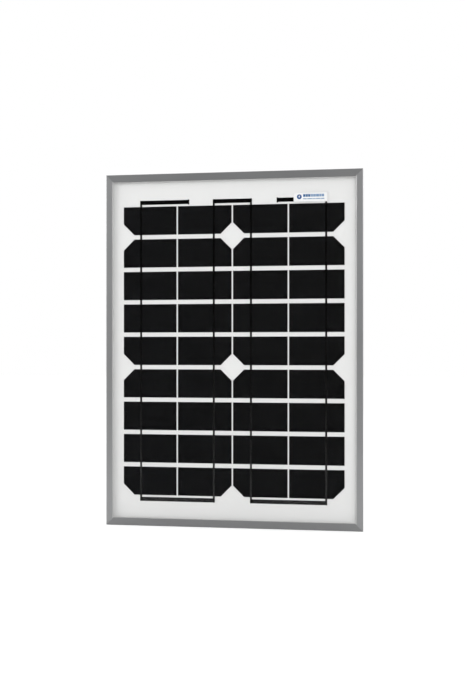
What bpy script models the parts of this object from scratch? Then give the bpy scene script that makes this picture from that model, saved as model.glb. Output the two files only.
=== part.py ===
"""Framed solar panel, 20 W class: 36 cut cells under glass in an aluminium frame, junction box behind.

Row frame: +Z up, the glass faces -Y, and the origin is the middle of the bottom edge, halfway
through the frame's depth. Lengths below are in millimetres and become metres when a mesh is made.
"""

import math

import bmesh
import bpy
from mathutils import Matrix, Vector
from mathutils.geometry import tessellate_polygon

MM = 0.001

# ---------------------------------------------------------------- driving dimensions, millimetres
WIDTH = 350.0
HEIGHT = 480.0
DEPTH = 25.0
FRONT = -DEPTH / 2
BACK = DEPTH / 2
FIT_GAP = 0.3
FILM_GAP = 0.05
ROUND = 24

# Frame rails: one extruded section with a glass slot, a key chamber and a rear flange.
RAIL_WALL = 1.5
LIP_THICK = 1.4
SIDE_LIP = 8.5
END_LIP = 10.2
SLOT_BACK = -4.7
CHAMBER_WALL = 1.3
CHAMBER_SPAN = 5.5
CHAMBER_FRONT = SLOT_BACK + CHAMBER_WALL
CHAMBER_BACK = 5.0
SHELF_EDGE = RAIL_WALL + CHAMBER_SPAN + CHAMBER_WALL
FLANGE_REACH = 20.0
FLANGE_THICK = 1.4
MITRE_GAP = 0.15
MOUNT_SLOT = (6.5, 10.0)
MOUNT_SLOT_INSET = 12.5
MOUNT_SLOT_RISE = 120.0
EARTH_HOLE_RADIUS = 2.1
EARTH_HOLE_RISE = 60.0
DRAIN_HOLE_RADIUS = 2.0
DRAIN_HOLE_SPREAD = 110.0

# Corner keys: barbed angles driven into the rails' chambers.
KEY_ARM = 32.0
KEY_BARB = 0.5
KEY_BARB_PITCH = 6.0

# Laminate, from the front: glass, clear film, cells with their ribbons, clear film, backsheet.
LAMINATE_INSET = 3.0
FILM_INSET = 4.0
GLASS_FRONT = -10.5
GLASS_BACK = GLASS_FRONT + 3.2
FRONT_FILM = (GLASS_BACK + FILM_GAP, GLASS_BACK + FILM_GAP + 0.37)
REAR_FILM = (-6.12, -5.72)
SHEET_FRONT = REAR_FILM[1] + FILM_GAP
SHEET_BACK = SHEET_FRONT + 0.35

# Cells: half-width strips of a pseudo-square wafer, so only some of their corners are cropped.
COLUMNS = 4
ROWS = 9
CELL_WIDTH = 74.0
CELL_HEIGHT = 38.6
CELL_CENTRE_Y = -6.5
CELL_THICK = 0.2
COLUMN_PITCH = 76.0
ROW_PITCH = 44.5
CELL_CROP = 15.0
FIELD_CENTRE_X = -0.4
FIRST_ROW_TOP = HEIGHT - 43.9
STRIPS_PER_WAFER = 4
FIRST_CROPPED_STRIP = 1

# Ribbons: a tab along each cell, and wide buses across the ends of the columns.
TAB_WIDTH = 2.7
TAB_THICK = 0.2
TAB_BITE = 0.05
TAB_SHARE = 0.33
TAB_STOP = 0.5
TAB_BEND = 0.8
TAB_FRONT_Y = CELL_CENTRE_Y - CELL_THICK / 2 + TAB_BITE - TAB_THICK / 2
TAB_BACK_Y = CELL_CENTRE_Y + CELL_THICK / 2 - TAB_BITE + TAB_THICK / 2
BUS_WIDTH = 5.6
BUS_THICK = 0.2
BUS_CLEAR = 2.8
BUS_Y = TAB_FRONT_Y + TAB_THICK / 2 + FILM_GAP + BUS_THICK / 2
LEAD_TURN_X = 60.8
LEAD_SLIT = (2.2, 7.0)

# Seal round the laminate's edge: a channel in the slot, and a bead that shows along the glass.
SIDE_BEAD = 0.9
END_BEAD = 0.7
BEAD_RISE = 0.6
SEAL_INSET = 1.8

# Junction box, on the backsheet below the top rail.
BOX_WIDTH = 136.0
BOX_HEIGHT = 62.0
BOX_TOP = 450.0
BOX_BOTTOM = BOX_TOP - BOX_HEIGHT
BOX_CENTRE_Z = BOX_TOP - BOX_HEIGHT / 2
BOX_WALL = 2.0
BOX_CORNER = 5.0
GLUE_THICK = 0.7
BOX_FOOT = SHEET_BACK + FILM_GAP + GLUE_THICK + FILM_GAP
BOX_FLOOR = BOX_FOOT + 1.6
BOX_RIM = 8.8
LID_SEAL_THICK = 0.8
LID_UNDER = BOX_RIM + LID_SEAL_THICK + 2 * FILM_GAP
LID_TOP = LID_UNDER + 1.7
LID_RIB_DEPTH = 1.4
LID_RIB_WALL = 1.3
LID_RIB_CLEAR = 0.5
WINDOW = (9.0, 11.0)

# Lid hinge, along the box's top edge.
HINGE_Y = 9.2
HINGE_Z = BOX_TOP + 3.4
KNUCKLE_RADIUS = 2.5
KNUCKLE_LENGTH = 15.0
KNUCKLE_PITCH = KNUCKLE_LENGTH + 0.4
KNUCKLE_COUNT = 5
PIN_RADIUS = 1.0
PIN_BORE = 1.3

# Captive screws at the lid's lower corners.
SCREW_X = 58.0
SCREW_Z = BOX_BOTTOM + 9.0
SCREW_SHANK = 1.4
SCREW_HEAD = 3.2
SCREW_HEAD_THICK = 1.3
SCREW_TIP = 4.2
SCREW_RECESS = 0.9
SCREW_SLOT = (0.8, 0.6)
BOSS_RADIUS = 4.0
BOSS_BORE = 1.9

# Cable glands under the box.
GLAND_X = 34.0
GLAND_Y = 2.7
GLAND_BORE = 3.05
GLAND_FLATS = 13.5
GLAND_SHANK = 4.0
GLAND_SHANK_END = BOX_BOTTOM + 6.3
WASHER_RADIUS = 6.6
WASHER_THICK = 1.0
FLANGE_TOP = BOX_BOTTOM - WASHER_THICK - 2 * FILM_GAP
FLANGE_BOTTOM = FLANGE_TOP - 3.5
NECK_RADIUS = 5.2
NECK_END = FLANGE_BOTTOM - 8.2
NECK_CONE = (4.3, 2.8)
NUT_TOP = FLANGE_BOTTOM - FIT_GAP
NUT_BORE = 5.5
NUT_END = NUT_TOP - 14.7
NUT_MOUTH = 3.4
NUT_DOME = 6.6
SEAL_RADIUS = 4.9
SEAL_TAPER = 1.5
NUT_SHOULDER = NUT_END + 1.8
LOCKNUT_FLATS = 10.4
LOCKNUT_THICK = 2.6
THREAD_CLEAR = 0.2

# Terminals on the box's floor, with a diode across them.
TERMINAL_X = 50.0
PLATE_WIDTH = 12.0
PLATE_BACK = BOX_FLOOR + FIT_GAP + 1.2
PLATE_ENDS = (402.0, 445.0)
BLOCK_WIDTH = 9.0
BLOCK_BACK = 5.6
BLOCK_ENDS = (404.0, 414.0)
WIRE_BORE = 1.7
WIRE_Y = 0.9
CLAMP_SCREW_RADIUS = 1.1
CLAMP_HEAD_RADIUS = 2.2
CLAMP_HEAD_THICK = 1.2
DIODE_Z = 426.0
DIODE_Y = 1.8
DIODE_RADIUS = 2.6
DIODE_LENGTH = 9.5
DIODE_LEAD_RADIUS = 0.6

# Labels.
FRONT_LABEL = (45.5, 12.9)
FRONT_LABEL_X = 105.5
FRONT_LABEL_TOP = HEIGHT - 29.1
RATING_LABEL = (110.0, 70.0)
RATING_LABEL_Z = 270.0
LABEL_THICK = 0.12

SMOOTH_BELOW = math.radians(35)


# ---------------------------------------------------------------- materials
def material(name, colour, roughness, metallic=0.0, alpha=1.0):
    made = bpy.data.materials.new(name)
    made.use_nodes = True
    shader = made.node_tree.nodes["Principled BSDF"]
    shader.inputs["Base Color"].default_value = (*colour, 1.0)
    shader.inputs["Roughness"].default_value = roughness
    shader.inputs["Metallic"].default_value = metallic
    shader.inputs["Alpha"].default_value = alpha
    made.diffuse_color = (*colour, alpha)
    return made


def make_materials():
    return {
        "anodised": material("anodised_aluminium", (0.27, 0.275, 0.28), 0.42, 0.9),
        "key": material("mill_aluminium", (0.6, 0.6, 0.62), 0.35, 1.0),
        "glass": material("tempered_glass", (0.95, 0.97, 0.97), 0.03, alpha=0.15),
        "film": material("clear_encapsulant", (0.95, 0.95, 0.95), 0.2, alpha=0.1),
        "cell": material("mono_silicon", (0.007, 0.007, 0.0075), 0.3),
        "ribbon": material("black_ribbon", (0.02, 0.02, 0.02), 0.35, 0.6),
        "sheet": material("white_backsheet", (0.82, 0.82, 0.82), 0.6),
        "seal": material("grey_silicone", (0.5, 0.5, 0.5), 0.5),
        "box": material("black_box_plastic", (0.012, 0.012, 0.013), 0.45),
        "rubber": material("black_rubber", (0.02, 0.02, 0.02), 0.8),
        "brass": material("brass", (0.75, 0.55, 0.25), 0.3, 1.0),
        "steel": material("plated_steel", (0.65, 0.65, 0.65), 0.3, 1.0),
        "diode": material("diode_body", (0.015, 0.015, 0.015), 0.35),
        "label": material("label_film", (0.86, 0.86, 0.86), 0.5),
    }


# ---------------------------------------------------------------- objects and modifiers
def clear_scene():
    for old in list(bpy.data.objects):
        bpy.data.objects.remove(old)


def add_object(name, mesh, finish, at=(0.0, 0.0, 0.0)):
    made = bpy.data.objects.new(name, mesh)
    bpy.context.scene.collection.objects.link(made)
    mesh.materials.append(finish)
    made.location = Vector(at) * MM
    return made


def boolean(target, mesh, operation):
    """Joins or cuts a shape given in the target's own coordinates; the shape stays as a helper."""
    name = target.name + "_" + operation.lower() + "_" + str(len(target.modifiers))
    other = bpy.data.objects.new(name, mesh)
    bpy.context.scene.collection.objects.link(other)
    other.parent = target
    other.hide_render = True
    other.display_type = "WIRE"
    modifier = target.modifiers.new(name, "BOOLEAN")
    modifier.operation = operation
    modifier.solver = "EXACT"
    modifier.object = other


def join(target, *meshes):
    for mesh in meshes:
        boolean(target, mesh, "UNION")


def cut(target, *meshes):
    for mesh in meshes:
        boolean(target, mesh, "DIFFERENCE")


# ---------------------------------------------------------------- outlines
def circle(radius, centre=(0.0, 0.0), count=ROUND):
    turn = 2 * math.pi / count
    return [
        (centre[0] + radius * math.cos(i * turn), centre[1] + radius * math.sin(i * turn))
        for i in range(count)
    ]


def hexagon(flats, centre=(0.0, 0.0)):
    """A hexagon with a corner on the first axis, so two of its flats face along the second."""
    return circle(flats / math.sqrt(3), centre, count=6)


def rectangle(width, height, centre=(0.0, 0.0)):
    corners = ((-1, -1), (1, -1), (1, 1), (-1, 1))
    return [(centre[0] + sx * width / 2, centre[1] + sy * height / 2) for sx, sy in corners]


def rounded_rectangle(width, height, radius, centre=(0.0, 0.0), steps=4):
    """A rectangle with an arc at each corner; a radius of half the width makes a slot."""
    points = []
    for quarter, (sx, sy) in enumerate(((1, 1), (-1, 1), (-1, -1), (1, -1))):
        for i in range(steps + 1):
            angle = (quarter + i / steps) * math.pi / 2
            x = centre[0] + sx * (width / 2 - radius) + radius * math.cos(angle)
            y = centre[1] + sy * (height / 2 - radius) + radius * math.sin(angle)
            points.append((x, y))
    return [p for i, p in enumerate(points) if math.dist(p, points[i - 1]) > 0.01]


# ---------------------------------------------------------------- closed meshes
def finish_mesh(shape, name):
    bmesh.ops.recalc_face_normals(shape, faces=shape.faces)
    mesh = bpy.data.meshes.new(name)
    shape.to_mesh(mesh)
    shape.free()
    mesh.shade_smooth()
    mesh.set_sharp_from_angle(angle=SMOOTH_BELOW)
    return mesh


def prism(outlines, low, high, plane="XZ", mitre=0.0):
    """An outline, and any holes in it, drawn along the plane's normal from low to high.

    With a mitre of 1 each end slopes back at 45 degrees along the outline's first axis.
    """
    shape = bmesh.new()
    caps = []
    for sign, end in ((1, low), (-1, high)):
        cap = []
        for a, b in (point for outline in outlines for point in outline):
            c = end + sign * mitre * a
            spot = {"XY": (a, b, c), "XZ": (a, c, b), "YZ": (c, a, b)}[plane]
            cap.append(shape.verts.new(Vector(spot) * MM))
        caps.append(cap)
    flat = [[Vector((a, b, 0.0)) for a, b in outline] for outline in outlines]
    for corners in tessellate_polygon(flat):
        for cap in caps:
            shape.faces.new([cap[i] for i in corners])
    start = 0
    for outline in outlines:
        count = len(outline)
        for i in range(count):
            j = start + (i + 1) % count
            i += start
            shape.faces.new((caps[0][i], caps[0][j], caps[1][j], caps[1][i]))
        start += count
    return finish_mesh(shape, "prism")


def turned(profile, count=ROUND, axis="Z"):
    """A closed profile of (radius, height) points swept round an axis; it never reaches the axis."""
    shape = bmesh.new()
    rings = []
    for i in range(count):
        angle = 2 * math.pi * i / count
        ring = []
        for radius, height in profile:
            a, b = radius * math.cos(angle), radius * math.sin(angle)
            spot = (a, b, height) if axis == "Z" else (a, height, b)
            ring.append(shape.verts.new(Vector(spot) * MM))
        rings.append(ring)
    for i, ring in enumerate(rings):
        for k in range(len(profile)):
            near, far = ring, rings[(i + 1) % count]
            m = (k + 1) % len(profile)
            shape.faces.new((near[k], near[m], far[m], far[k]))
    return finish_mesh(shape, "turned")


def picture_frame(section):
    """A closed section of (side inset, end inset, depth) points carried round the panel's edge."""
    shape = bmesh.new()
    rings = []
    for sx, top in ((-1, 0), (1, 0), (1, 1), (-1, 1)):
        ring = []
        for side, end, y in section:
            spot = (sx * (WIDTH / 2 - side), y, HEIGHT - end if top else end)
            ring.append(shape.verts.new(Vector(spot) * MM))
        rings.append(ring)
    for i, ring in enumerate(rings):
        for k in range(len(section)):
            far = rings[(i + 1) % 4]
            m = (k + 1) % len(section)
            shape.faces.new((ring[k], ring[m], far[m], far[k]))
    return finish_mesh(shape, "picture_frame")


def box_mesh(low, high):
    """A block between two corners."""
    outline = [(low[0], low[2]), (high[0], low[2]), (high[0], high[2]), (low[0], high[2])]
    return prism([outline], low[1], high[1])


# ---------------------------------------------------------------- frame
def rail_section(lip):
    """The rail's section as (distance in from the outer edge, depth), and its chamber's outline."""
    chamber_end = RAIL_WALL + CHAMBER_SPAN
    outer = [
        (0, FRONT),
        (lip, FRONT),
        (lip, FRONT + LIP_THICK),
        (RAIL_WALL, FRONT + LIP_THICK),
        (RAIL_WALL, SLOT_BACK),
        (SHELF_EDGE, SLOT_BACK),
        (SHELF_EDGE, CHAMBER_BACK + CHAMBER_WALL),
        (RAIL_WALL, CHAMBER_BACK + CHAMBER_WALL),
        (RAIL_WALL, BACK - FLANGE_THICK),
        (FLANGE_REACH, BACK - FLANGE_THICK),
        (FLANGE_REACH, BACK),
        (0, BACK),
    ]
    chamber = [
        (RAIL_WALL, CHAMBER_FRONT),
        (chamber_end, CHAMBER_FRONT),
        (chamber_end, CHAMBER_BACK),
        (RAIL_WALL, CHAMBER_BACK),
    ]
    return [outer, chamber]


def add_rail(name, length, lip, at, turn, finish, flange_holes):
    """A rail lies along its own Z, with its outer face at X = 0 and its section towards +X."""
    reach = length / 2 - MITRE_GAP
    rail = add_object(name, prism(rail_section(lip), -reach, reach, "XY", mitre=1.0), finish, at)
    rail.rotation_euler = (0.0, turn, 0.0)
    for outline in flange_holes:
        cut(rail, prism([outline], BACK - FLANGE_THICK - 1, BACK + 1))


def add_frame(finish):
    slots = [
        rounded_rectangle(*MOUNT_SLOT, MOUNT_SLOT[0] / 2 - 0.01, (MOUNT_SLOT_INSET, rise))
        for rise in (-MOUNT_SLOT_RISE, MOUNT_SLOT_RISE)
    ]
    earth = circle(EARTH_HOLE_RADIUS, (MOUNT_SLOT_INSET, EARTH_HOLE_RISE), 12)
    drains = [
        circle(DRAIN_HOLE_RADIUS, (MOUNT_SLOT_INSET, spread), 12)
        for spread in (-DRAIN_HOLE_SPREAD, DRAIN_HOLE_SPREAD)
    ]
    middle = HEIGHT / 2
    quarter = math.pi / 2
    side, end = (HEIGHT, SIDE_LIP), (WIDTH, END_LIP)
    add_rail("side_rail_left", *side, (-WIDTH / 2, 0, middle), 0.0, finish, slots + [earth])
    add_rail("side_rail_right", *side, (WIDTH / 2, 0, middle), math.pi, finish, slots)
    add_rail("end_rail_bottom", *end, (0, 0, 0), -quarter, finish, drains)
    add_rail("end_rail_top", *end, (0, 0, HEIGHT), quarter, finish, drains)


def key_outline():
    """An angle with its outer corner near the origin and saw teeth on both faces of each arm."""
    near = RAIL_WALL + FIT_GAP
    far = RAIL_WALL + CHAMBER_SPAN - FIT_GAP
    end = near + KEY_ARM
    count = int((KEY_ARM - 12.0) / KEY_BARB_PITCH)
    outer, inner = [], []
    for i in range(count):
        root = end - 2.0 - i * KEY_BARB_PITCH
        tip = root - KEY_BARB_PITCH + 1.0
        outer += [(root, near + KEY_BARB), (tip, near), (tip, near + KEY_BARB)]
        inner += [(root, far - KEY_BARB), (tip, far), (tip, far - KEY_BARB)]
    one_arm = [(end, near + KEY_BARB)] + outer + [(near + KEY_BARB, near + KEY_BARB)]
    other_arm = [(y, x) for x, y in reversed([(end, near + KEY_BARB)] + outer)]
    other_inner = [(y, x) for x, y in [(end, far - KEY_BARB)] + inner]
    one_inner = list(reversed([(end, far - KEY_BARB)] + inner))
    corner = [(far - KEY_BARB, far - KEY_BARB)]
    return one_arm + other_arm + other_inner + corner + one_inner


def add_corner_keys(finish):
    outline = key_outline()
    low, high = CHAMBER_FRONT + FIT_GAP, CHAMBER_BACK - FIT_GAP
    for side, sx in (("left", -1), ("right", 1)):
        for end, top in (("bottom", 0), ("top", 1)):
            corner = [
                (sx * (WIDTH / 2 - a), HEIGHT - b if top else b)
                for a, b in outline
            ]
            add_object(f"corner_key_{end}_{side}", prism([corner], low, high), finish)


# ---------------------------------------------------------------- laminate
def sheet_outline(inset):
    return rectangle(WIDTH - 2 * inset, HEIGHT - 2 * inset, (0, HEIGHT / 2))


def lead_slits():
    """Slits that the lead-outs pass through, on the top buses' line."""
    return [rectangle(*LEAD_SLIT, (sx * LEAD_TURN_X, top_bus_z())) for sx in (-1, 1)]


def add_sheets(finishes):
    add_object(
        "front_glass",
        prism([sheet_outline(LAMINATE_INSET)], GLASS_FRONT, GLASS_BACK),
        finishes["glass"],
    )
    film = add_object(
        "front_encapsulant",
        prism([sheet_outline(FILM_INSET)], *FRONT_FILM),
        finishes["film"],
    )
    pocket = rectangle(FRONT_LABEL[0] + 1, FRONT_LABEL[1] + 1, front_label_centre())
    cut(film, prism([pocket], FRONT_FILM[0] - 1, FRONT_FILM[0] + LABEL_THICK + FILM_GAP))
    slits = lead_slits()
    add_object(
        "rear_encapsulant",
        prism([sheet_outline(FILM_INSET)] + slits, *REAR_FILM),
        finishes["film"],
    )
    add_object(
        "backsheet",
        prism([sheet_outline(LAMINATE_INSET)] + slits, SHEET_FRONT, SHEET_BACK),
        finishes["sheet"],
    )


def add_edge_seal(finish):
    """A channel round the laminate; its front leg widens into the bead beside the lips."""
    lip_back = FRONT + LIP_THICK + FILM_GAP
    glass = GLASS_FRONT - FILM_GAP
    sheet = SHEET_BACK + FILM_GAP
    slot_back = SLOT_BACK - FILM_GAP
    side_edge, end_edge = SIDE_LIP + SIDE_BEAD, END_LIP + END_BEAD
    side_bead, end_bead = SIDE_LIP + FILM_GAP, END_LIP + FILM_GAP
    edge = LAMINATE_INSET - FILM_GAP
    leg = SHELF_EDGE - 1.0
    add_object(
        "edge_seal",
        picture_frame([
            (SEAL_INSET, SEAL_INSET, lip_back),
            (side_bead, end_bead, lip_back),
            (side_bead, end_bead, lip_back - BEAD_RISE),
            (side_edge, end_edge, glass - 0.1),
            (side_edge, end_edge, glass),
            (edge, edge, glass),
            (edge, edge, sheet),
            (leg, leg, sheet),
            (leg, leg, slot_back),
            (SEAL_INSET, SEAL_INSET, slot_back),
        ]),
        finish,
    )


# ---------------------------------------------------------------- cells and ribbons
def column_x(column):
    return FIELD_CENTRE_X + (column - (COLUMNS - 1) / 2) * COLUMN_PITCH


def cropped_side(column):
    """A wafer is two columns wide, so its cropped corners lie on the pair's outer sides."""
    return -1 if column % 2 == 0 else 1


def tab_x(column):
    return column_x(column) + cropped_side(column) * (0.5 - TAB_SHARE) * CELL_WIDTH


def row_top(row):
    return FIRST_ROW_TOP - row * ROW_PITCH


def top_bus_z():
    return FIRST_ROW_TOP + BUS_CLEAR + BUS_WIDTH / 2


def bottom_bus_z():
    return row_top(ROWS - 1) - CELL_HEIGHT - BUS_CLEAR - BUS_WIDTH / 2


def cell_outline(column, row):
    """A strip of wafer; the last strip of each wafer and the first of the next are cropped."""
    strip = (row - FIRST_CROPPED_STRIP) % STRIPS_PER_WAFER
    crop_top = CELL_CROP if strip == 0 and row > 0 else 0.0
    crop_bottom = CELL_CROP if strip == STRIPS_PER_WAFER - 1 else 0.0
    side = cropped_side(column)
    plain = column_x(column) - side * CELL_WIDTH / 2
    edge = column_x(column) + side * CELL_WIDTH / 2
    top, bottom = row_top(row), row_top(row) - CELL_HEIGHT
    points = [(plain, top)]
    points += [(edge - side * crop_top, top), (edge, top - crop_top)] if crop_top else [(edge, top)]
    if crop_bottom:
        points += [(edge, bottom + crop_bottom), (edge - side * crop_bottom, bottom)]
    else:
        points += [(edge, bottom)]
    return points + [(plain, bottom)]


def strip_mesh(x, route):
    """A tab that follows (height, depth) points, as a thin band of even thickness."""
    half = TAB_THICK / 2
    band = [(y - half, z) for z, y in route] + [(y + half, z) for z, y in reversed(route)]
    return prism([band], x - TAB_WIDTH / 2, x + TAB_WIDTH / 2, "YZ")


def tab_routes(rising):
    """Routes of a column's tabs: each runs on one cell's face, then behind the next cell."""
    top_edge, bottom_edge = top_bus_z() + BUS_WIDTH / 2, bottom_bus_z() - BUS_WIDTH / 2
    tops = [row_top(row) for row in range(ROWS)]
    bottoms = [top - CELL_HEIGHT for top in tops]
    if rising:
        tops, bottoms = [-z for z in reversed(bottoms)], [-z for z in reversed(tops)]
        top_edge, bottom_edge = -bottom_edge, -top_edge
    faces = [(top_edge, TAB_FRONT_Y), (tops[0] + BUS_CLEAR - TAB_BEND, TAB_FRONT_Y)]
    routes = []
    for top, bottom in zip(tops, bottoms):
        back = [(top + TAB_BEND, TAB_BACK_Y), (bottom + TAB_STOP, TAB_BACK_Y)]
        routes.append(faces + back)
        faces = [(top - TAB_STOP, TAB_FRONT_Y), (bottom - TAB_BEND, TAB_FRONT_Y)]
    routes.append([faces[0], (bottom_edge, TAB_FRONT_Y)])
    sign = -1 if rising else 1
    return [[(sign * z, y) for z, y in route] for route in routes]


def add_cell_strings(finish):
    """Each column's nine cells, soldered together by their tabs into one string."""
    low, high = CELL_CENTRE_Y - CELL_THICK / 2, CELL_CENTRE_Y + CELL_THICK / 2
    for column in range(COLUMNS):
        cells = [prism([cell_outline(column, row)], low, high) for row in range(ROWS)]
        tabs = [strip_mesh(tab_x(column), route) for route in tab_routes(column % 2 == 1)]
        string = add_object(f"cell_string_{column + 1}", cells[0], finish)
        join(string, tabs[0])
        for cell, tab in zip(cells[1:] + [None], tabs[1:]):
            join(string, tab)
            if cell is not None:
                join(string, cell)


def bus_mesh(first, last, z):
    ends = (tab_x(first) - TAB_WIDTH / 2, tab_x(last) + TAB_WIDTH / 2)
    half = BUS_WIDTH / 2
    low = (ends[0], BUS_Y - BUS_THICK / 2, z - half)
    return box_mesh(low, (ends[1], BUS_Y + BUS_THICK / 2, z + half))


def lead_out_mesh(column):
    """A bus that turns back through the slits and lies on its terminal plate."""
    side = -1 if column == 0 else 1
    half = BUS_THICK / 2
    start = tab_x(column) + side * TAB_WIDTH / 2
    turn = side * LEAD_TURN_X
    tip = side * (TERMINAL_X - 3.0)
    rest = PLATE_BACK + FIT_GAP + half
    z = top_bus_z()
    outline = [
        (start, BUS_Y - half),
        (turn - side * half, BUS_Y - half),
        (turn - side * half, rest - half),
        (tip, rest - half),
        (tip, rest + half),
        (turn + side * half, rest + half),
        (turn + side * half, BUS_Y + half),
        (start, BUS_Y + half),
    ]
    return prism([outline], z - BUS_WIDTH / 2, z + BUS_WIDTH / 2, "XY")


def add_buses(finish):
    last = COLUMNS - 1
    add_object("bus_top_middle", bus_mesh(1, 2, top_bus_z()), finish)
    add_object("bus_bottom_left", bus_mesh(0, 1, bottom_bus_z()), finish)
    add_object("bus_bottom_right", bus_mesh(2, last, bottom_bus_z()), finish)
    add_object("lead_out_positive", lead_out_mesh(0), finish)
    add_object("lead_out_negative", lead_out_mesh(last), finish)


# ---------------------------------------------------------------- labels
def front_label_centre():
    return (FRONT_LABEL_X, FRONT_LABEL_TOP - FRONT_LABEL[1] / 2)


def add_labels(finish):
    front = FRONT_FILM[0]
    outline = rectangle(*FRONT_LABEL, front_label_centre())
    add_object("front_label", prism([outline], front, front + LABEL_THICK), finish)
    back = SHEET_BACK + FILM_GAP
    outline = rounded_rectangle(*RATING_LABEL, 3.0, (0, RATING_LABEL_Z))
    add_object("rating_label", prism([outline], back, back + LABEL_THICK), finish)


# ---------------------------------------------------------------- junction box
def box_outline(inset):
    return rounded_rectangle(
        BOX_WIDTH - 2 * inset,
        BOX_HEIGHT - 2 * inset,
        BOX_CORNER - inset,
        (0, BOX_CENTRE_Z),
    )


def windows():
    return [rectangle(*WINDOW, (sx * LEAD_TURN_X, top_bus_z())) for sx in (-1, 1)]


def knuckle_mesh(index):
    middle = (index - (KNUCKLE_COUNT - 1) / 2) * KNUCKLE_PITCH
    ends = (middle - KNUCKLE_LENGTH / 2, middle + KNUCKLE_LENGTH / 2)
    return prism([circle(KNUCKLE_RADIUS, (HINGE_Y, HINGE_Z))], *ends, "YZ"), ends


def hinge_bore():
    reach = KNUCKLE_COUNT * KNUCKLE_PITCH
    return prism([circle(PIN_BORE, (HINGE_Y, HINGE_Z), 16)], -reach, reach, "YZ")


def add_box_base(finish):
    base = add_object("junction_box_base", prism([box_outline(0)], BOX_FOOT, BOX_RIM), finish)
    cut(base, prism([box_outline(BOX_WALL)], BOX_FLOOR, BOX_RIM + 1))
    for sx in (-1, 1):
        boss = circle(BOSS_RADIUS, (sx * SCREW_X, SCREW_Z))
        join(base, prism([boss], BOX_FLOOR - 0.5, BOX_RIM))
        bore = circle(BOSS_BORE, (sx * SCREW_X, SCREW_Z), 16)
        cut(base, prism([bore], SCREW_TIP - 2, BOX_RIM + 1))
        hole = circle(GLAND_SHANK + THREAD_CLEAR, (sx * GLAND_X, GLAND_Y))
        cut(base, prism([hole], BOX_BOTTOM - 1, BOX_BOTTOM + BOX_WALL + 1, "XY"))
    for window in windows():
        cut(base, prism([window], BOX_FOOT - 1, BOX_FLOOR + 1))
    for index in range(0, KNUCKLE_COUNT, 2):
        barrel, ends = knuckle_mesh(index)
        low = (ends[0], HINGE_Y - KNUCKLE_RADIUS, BOX_TOP - 1)
        join(base, box_mesh(low, (ends[1], BOX_RIM, HINGE_Z)), barrel)
    cut(base, hinge_bore())


def add_lid(finish):
    """The lid's own origin is on its hinge axis."""
    pivot = (0.0, HINGE_Y, HINGE_Z)
    lid = add_object("junction_box_lid", prism([box_outline(0)], LID_UNDER, LID_TOP), finish)
    rib_outer = box_outline(BOX_WALL + LID_RIB_CLEAR)
    rib_inner = box_outline(BOX_WALL + LID_RIB_CLEAR + LID_RIB_WALL)
    join(lid, prism([rib_outer, rib_inner], LID_UNDER - LID_RIB_DEPTH, LID_UNDER + 0.5))
    for index in range(1, KNUCKLE_COUNT, 2):
        barrel, ends = knuckle_mesh(index)
        low = (ends[0], LID_UNDER, BOX_TOP - 1)
        join(lid, box_mesh(low, (ends[1], LID_TOP, HINGE_Z)), barrel)
    cut(lid, hinge_bore())
    for sx in (-1, 1):
        at = (sx * SCREW_X, SCREW_Z)
        cut(lid, prism([circle(SCREW_HEAD + FIT_GAP, at)], LID_TOP - SCREW_RECESS, LID_TOP + 1))
        cut(lid, prism([circle(SCREW_SHANK + FIT_GAP, at, 16)], LID_UNDER - 1, LID_TOP + 1))
    move_origin(lid, pivot)


def move_origin(made, pivot):
    """Puts an object's origin at a point and shifts its mesh and helpers back by as much."""
    offset = Vector(pivot) * MM
    shift = Matrix.Translation(-offset)
    made.location = offset
    made.data.transform(shift)
    for child in made.children:
        child.data.transform(shift)


def add_box_trim(finishes):
    glue = prism([box_outline(2.0)] + windows(), SHEET_BACK + FILM_GAP, BOX_FOOT - FILM_GAP)
    add_object("box_adhesive", glue, finishes["seal"])
    seal_front = BOX_RIM + FILM_GAP
    seal = prism([box_outline(0.2), box_outline(1.8)], seal_front, seal_front + LID_SEAL_THICK)
    add_object("lid_gasket", seal, finishes["rubber"])
    reach = KNUCKLE_COUNT * KNUCKLE_PITCH / 2 - 0.2
    pin = prism([circle(PIN_RADIUS, count=16)], -reach, reach, "YZ")
    add_object("hinge_pin", pin, finishes["steel"], (0, HINGE_Y, HINGE_Z))


def add_screw(name, at, sizes, finish):
    """A slotted screw: its origin is under its head, and its shank points along -Y."""
    shank, head, head_thick, length = sizes
    screw = add_object(name, prism([circle(head)], 0, head_thick), finish, at)
    join(screw, prism([circle(shank, count=16)], -length, head_thick / 2))
    width, depth = SCREW_SLOT
    low = (-head - 1, head_thick - depth, -width / 2)
    cut(screw, box_mesh(low, (head + 1, head_thick + 1, width / 2)))


def add_lid_screws(finish):
    seat = LID_TOP - SCREW_RECESS + 2 * FILM_GAP
    sizes = (SCREW_SHANK, SCREW_HEAD, SCREW_HEAD_THICK, seat - SCREW_TIP)
    for side, sx in (("left", -1), ("right", 1)):
        add_screw(f"lid_screw_{side}", (sx * SCREW_X, seat, SCREW_Z), sizes, finish)


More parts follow.
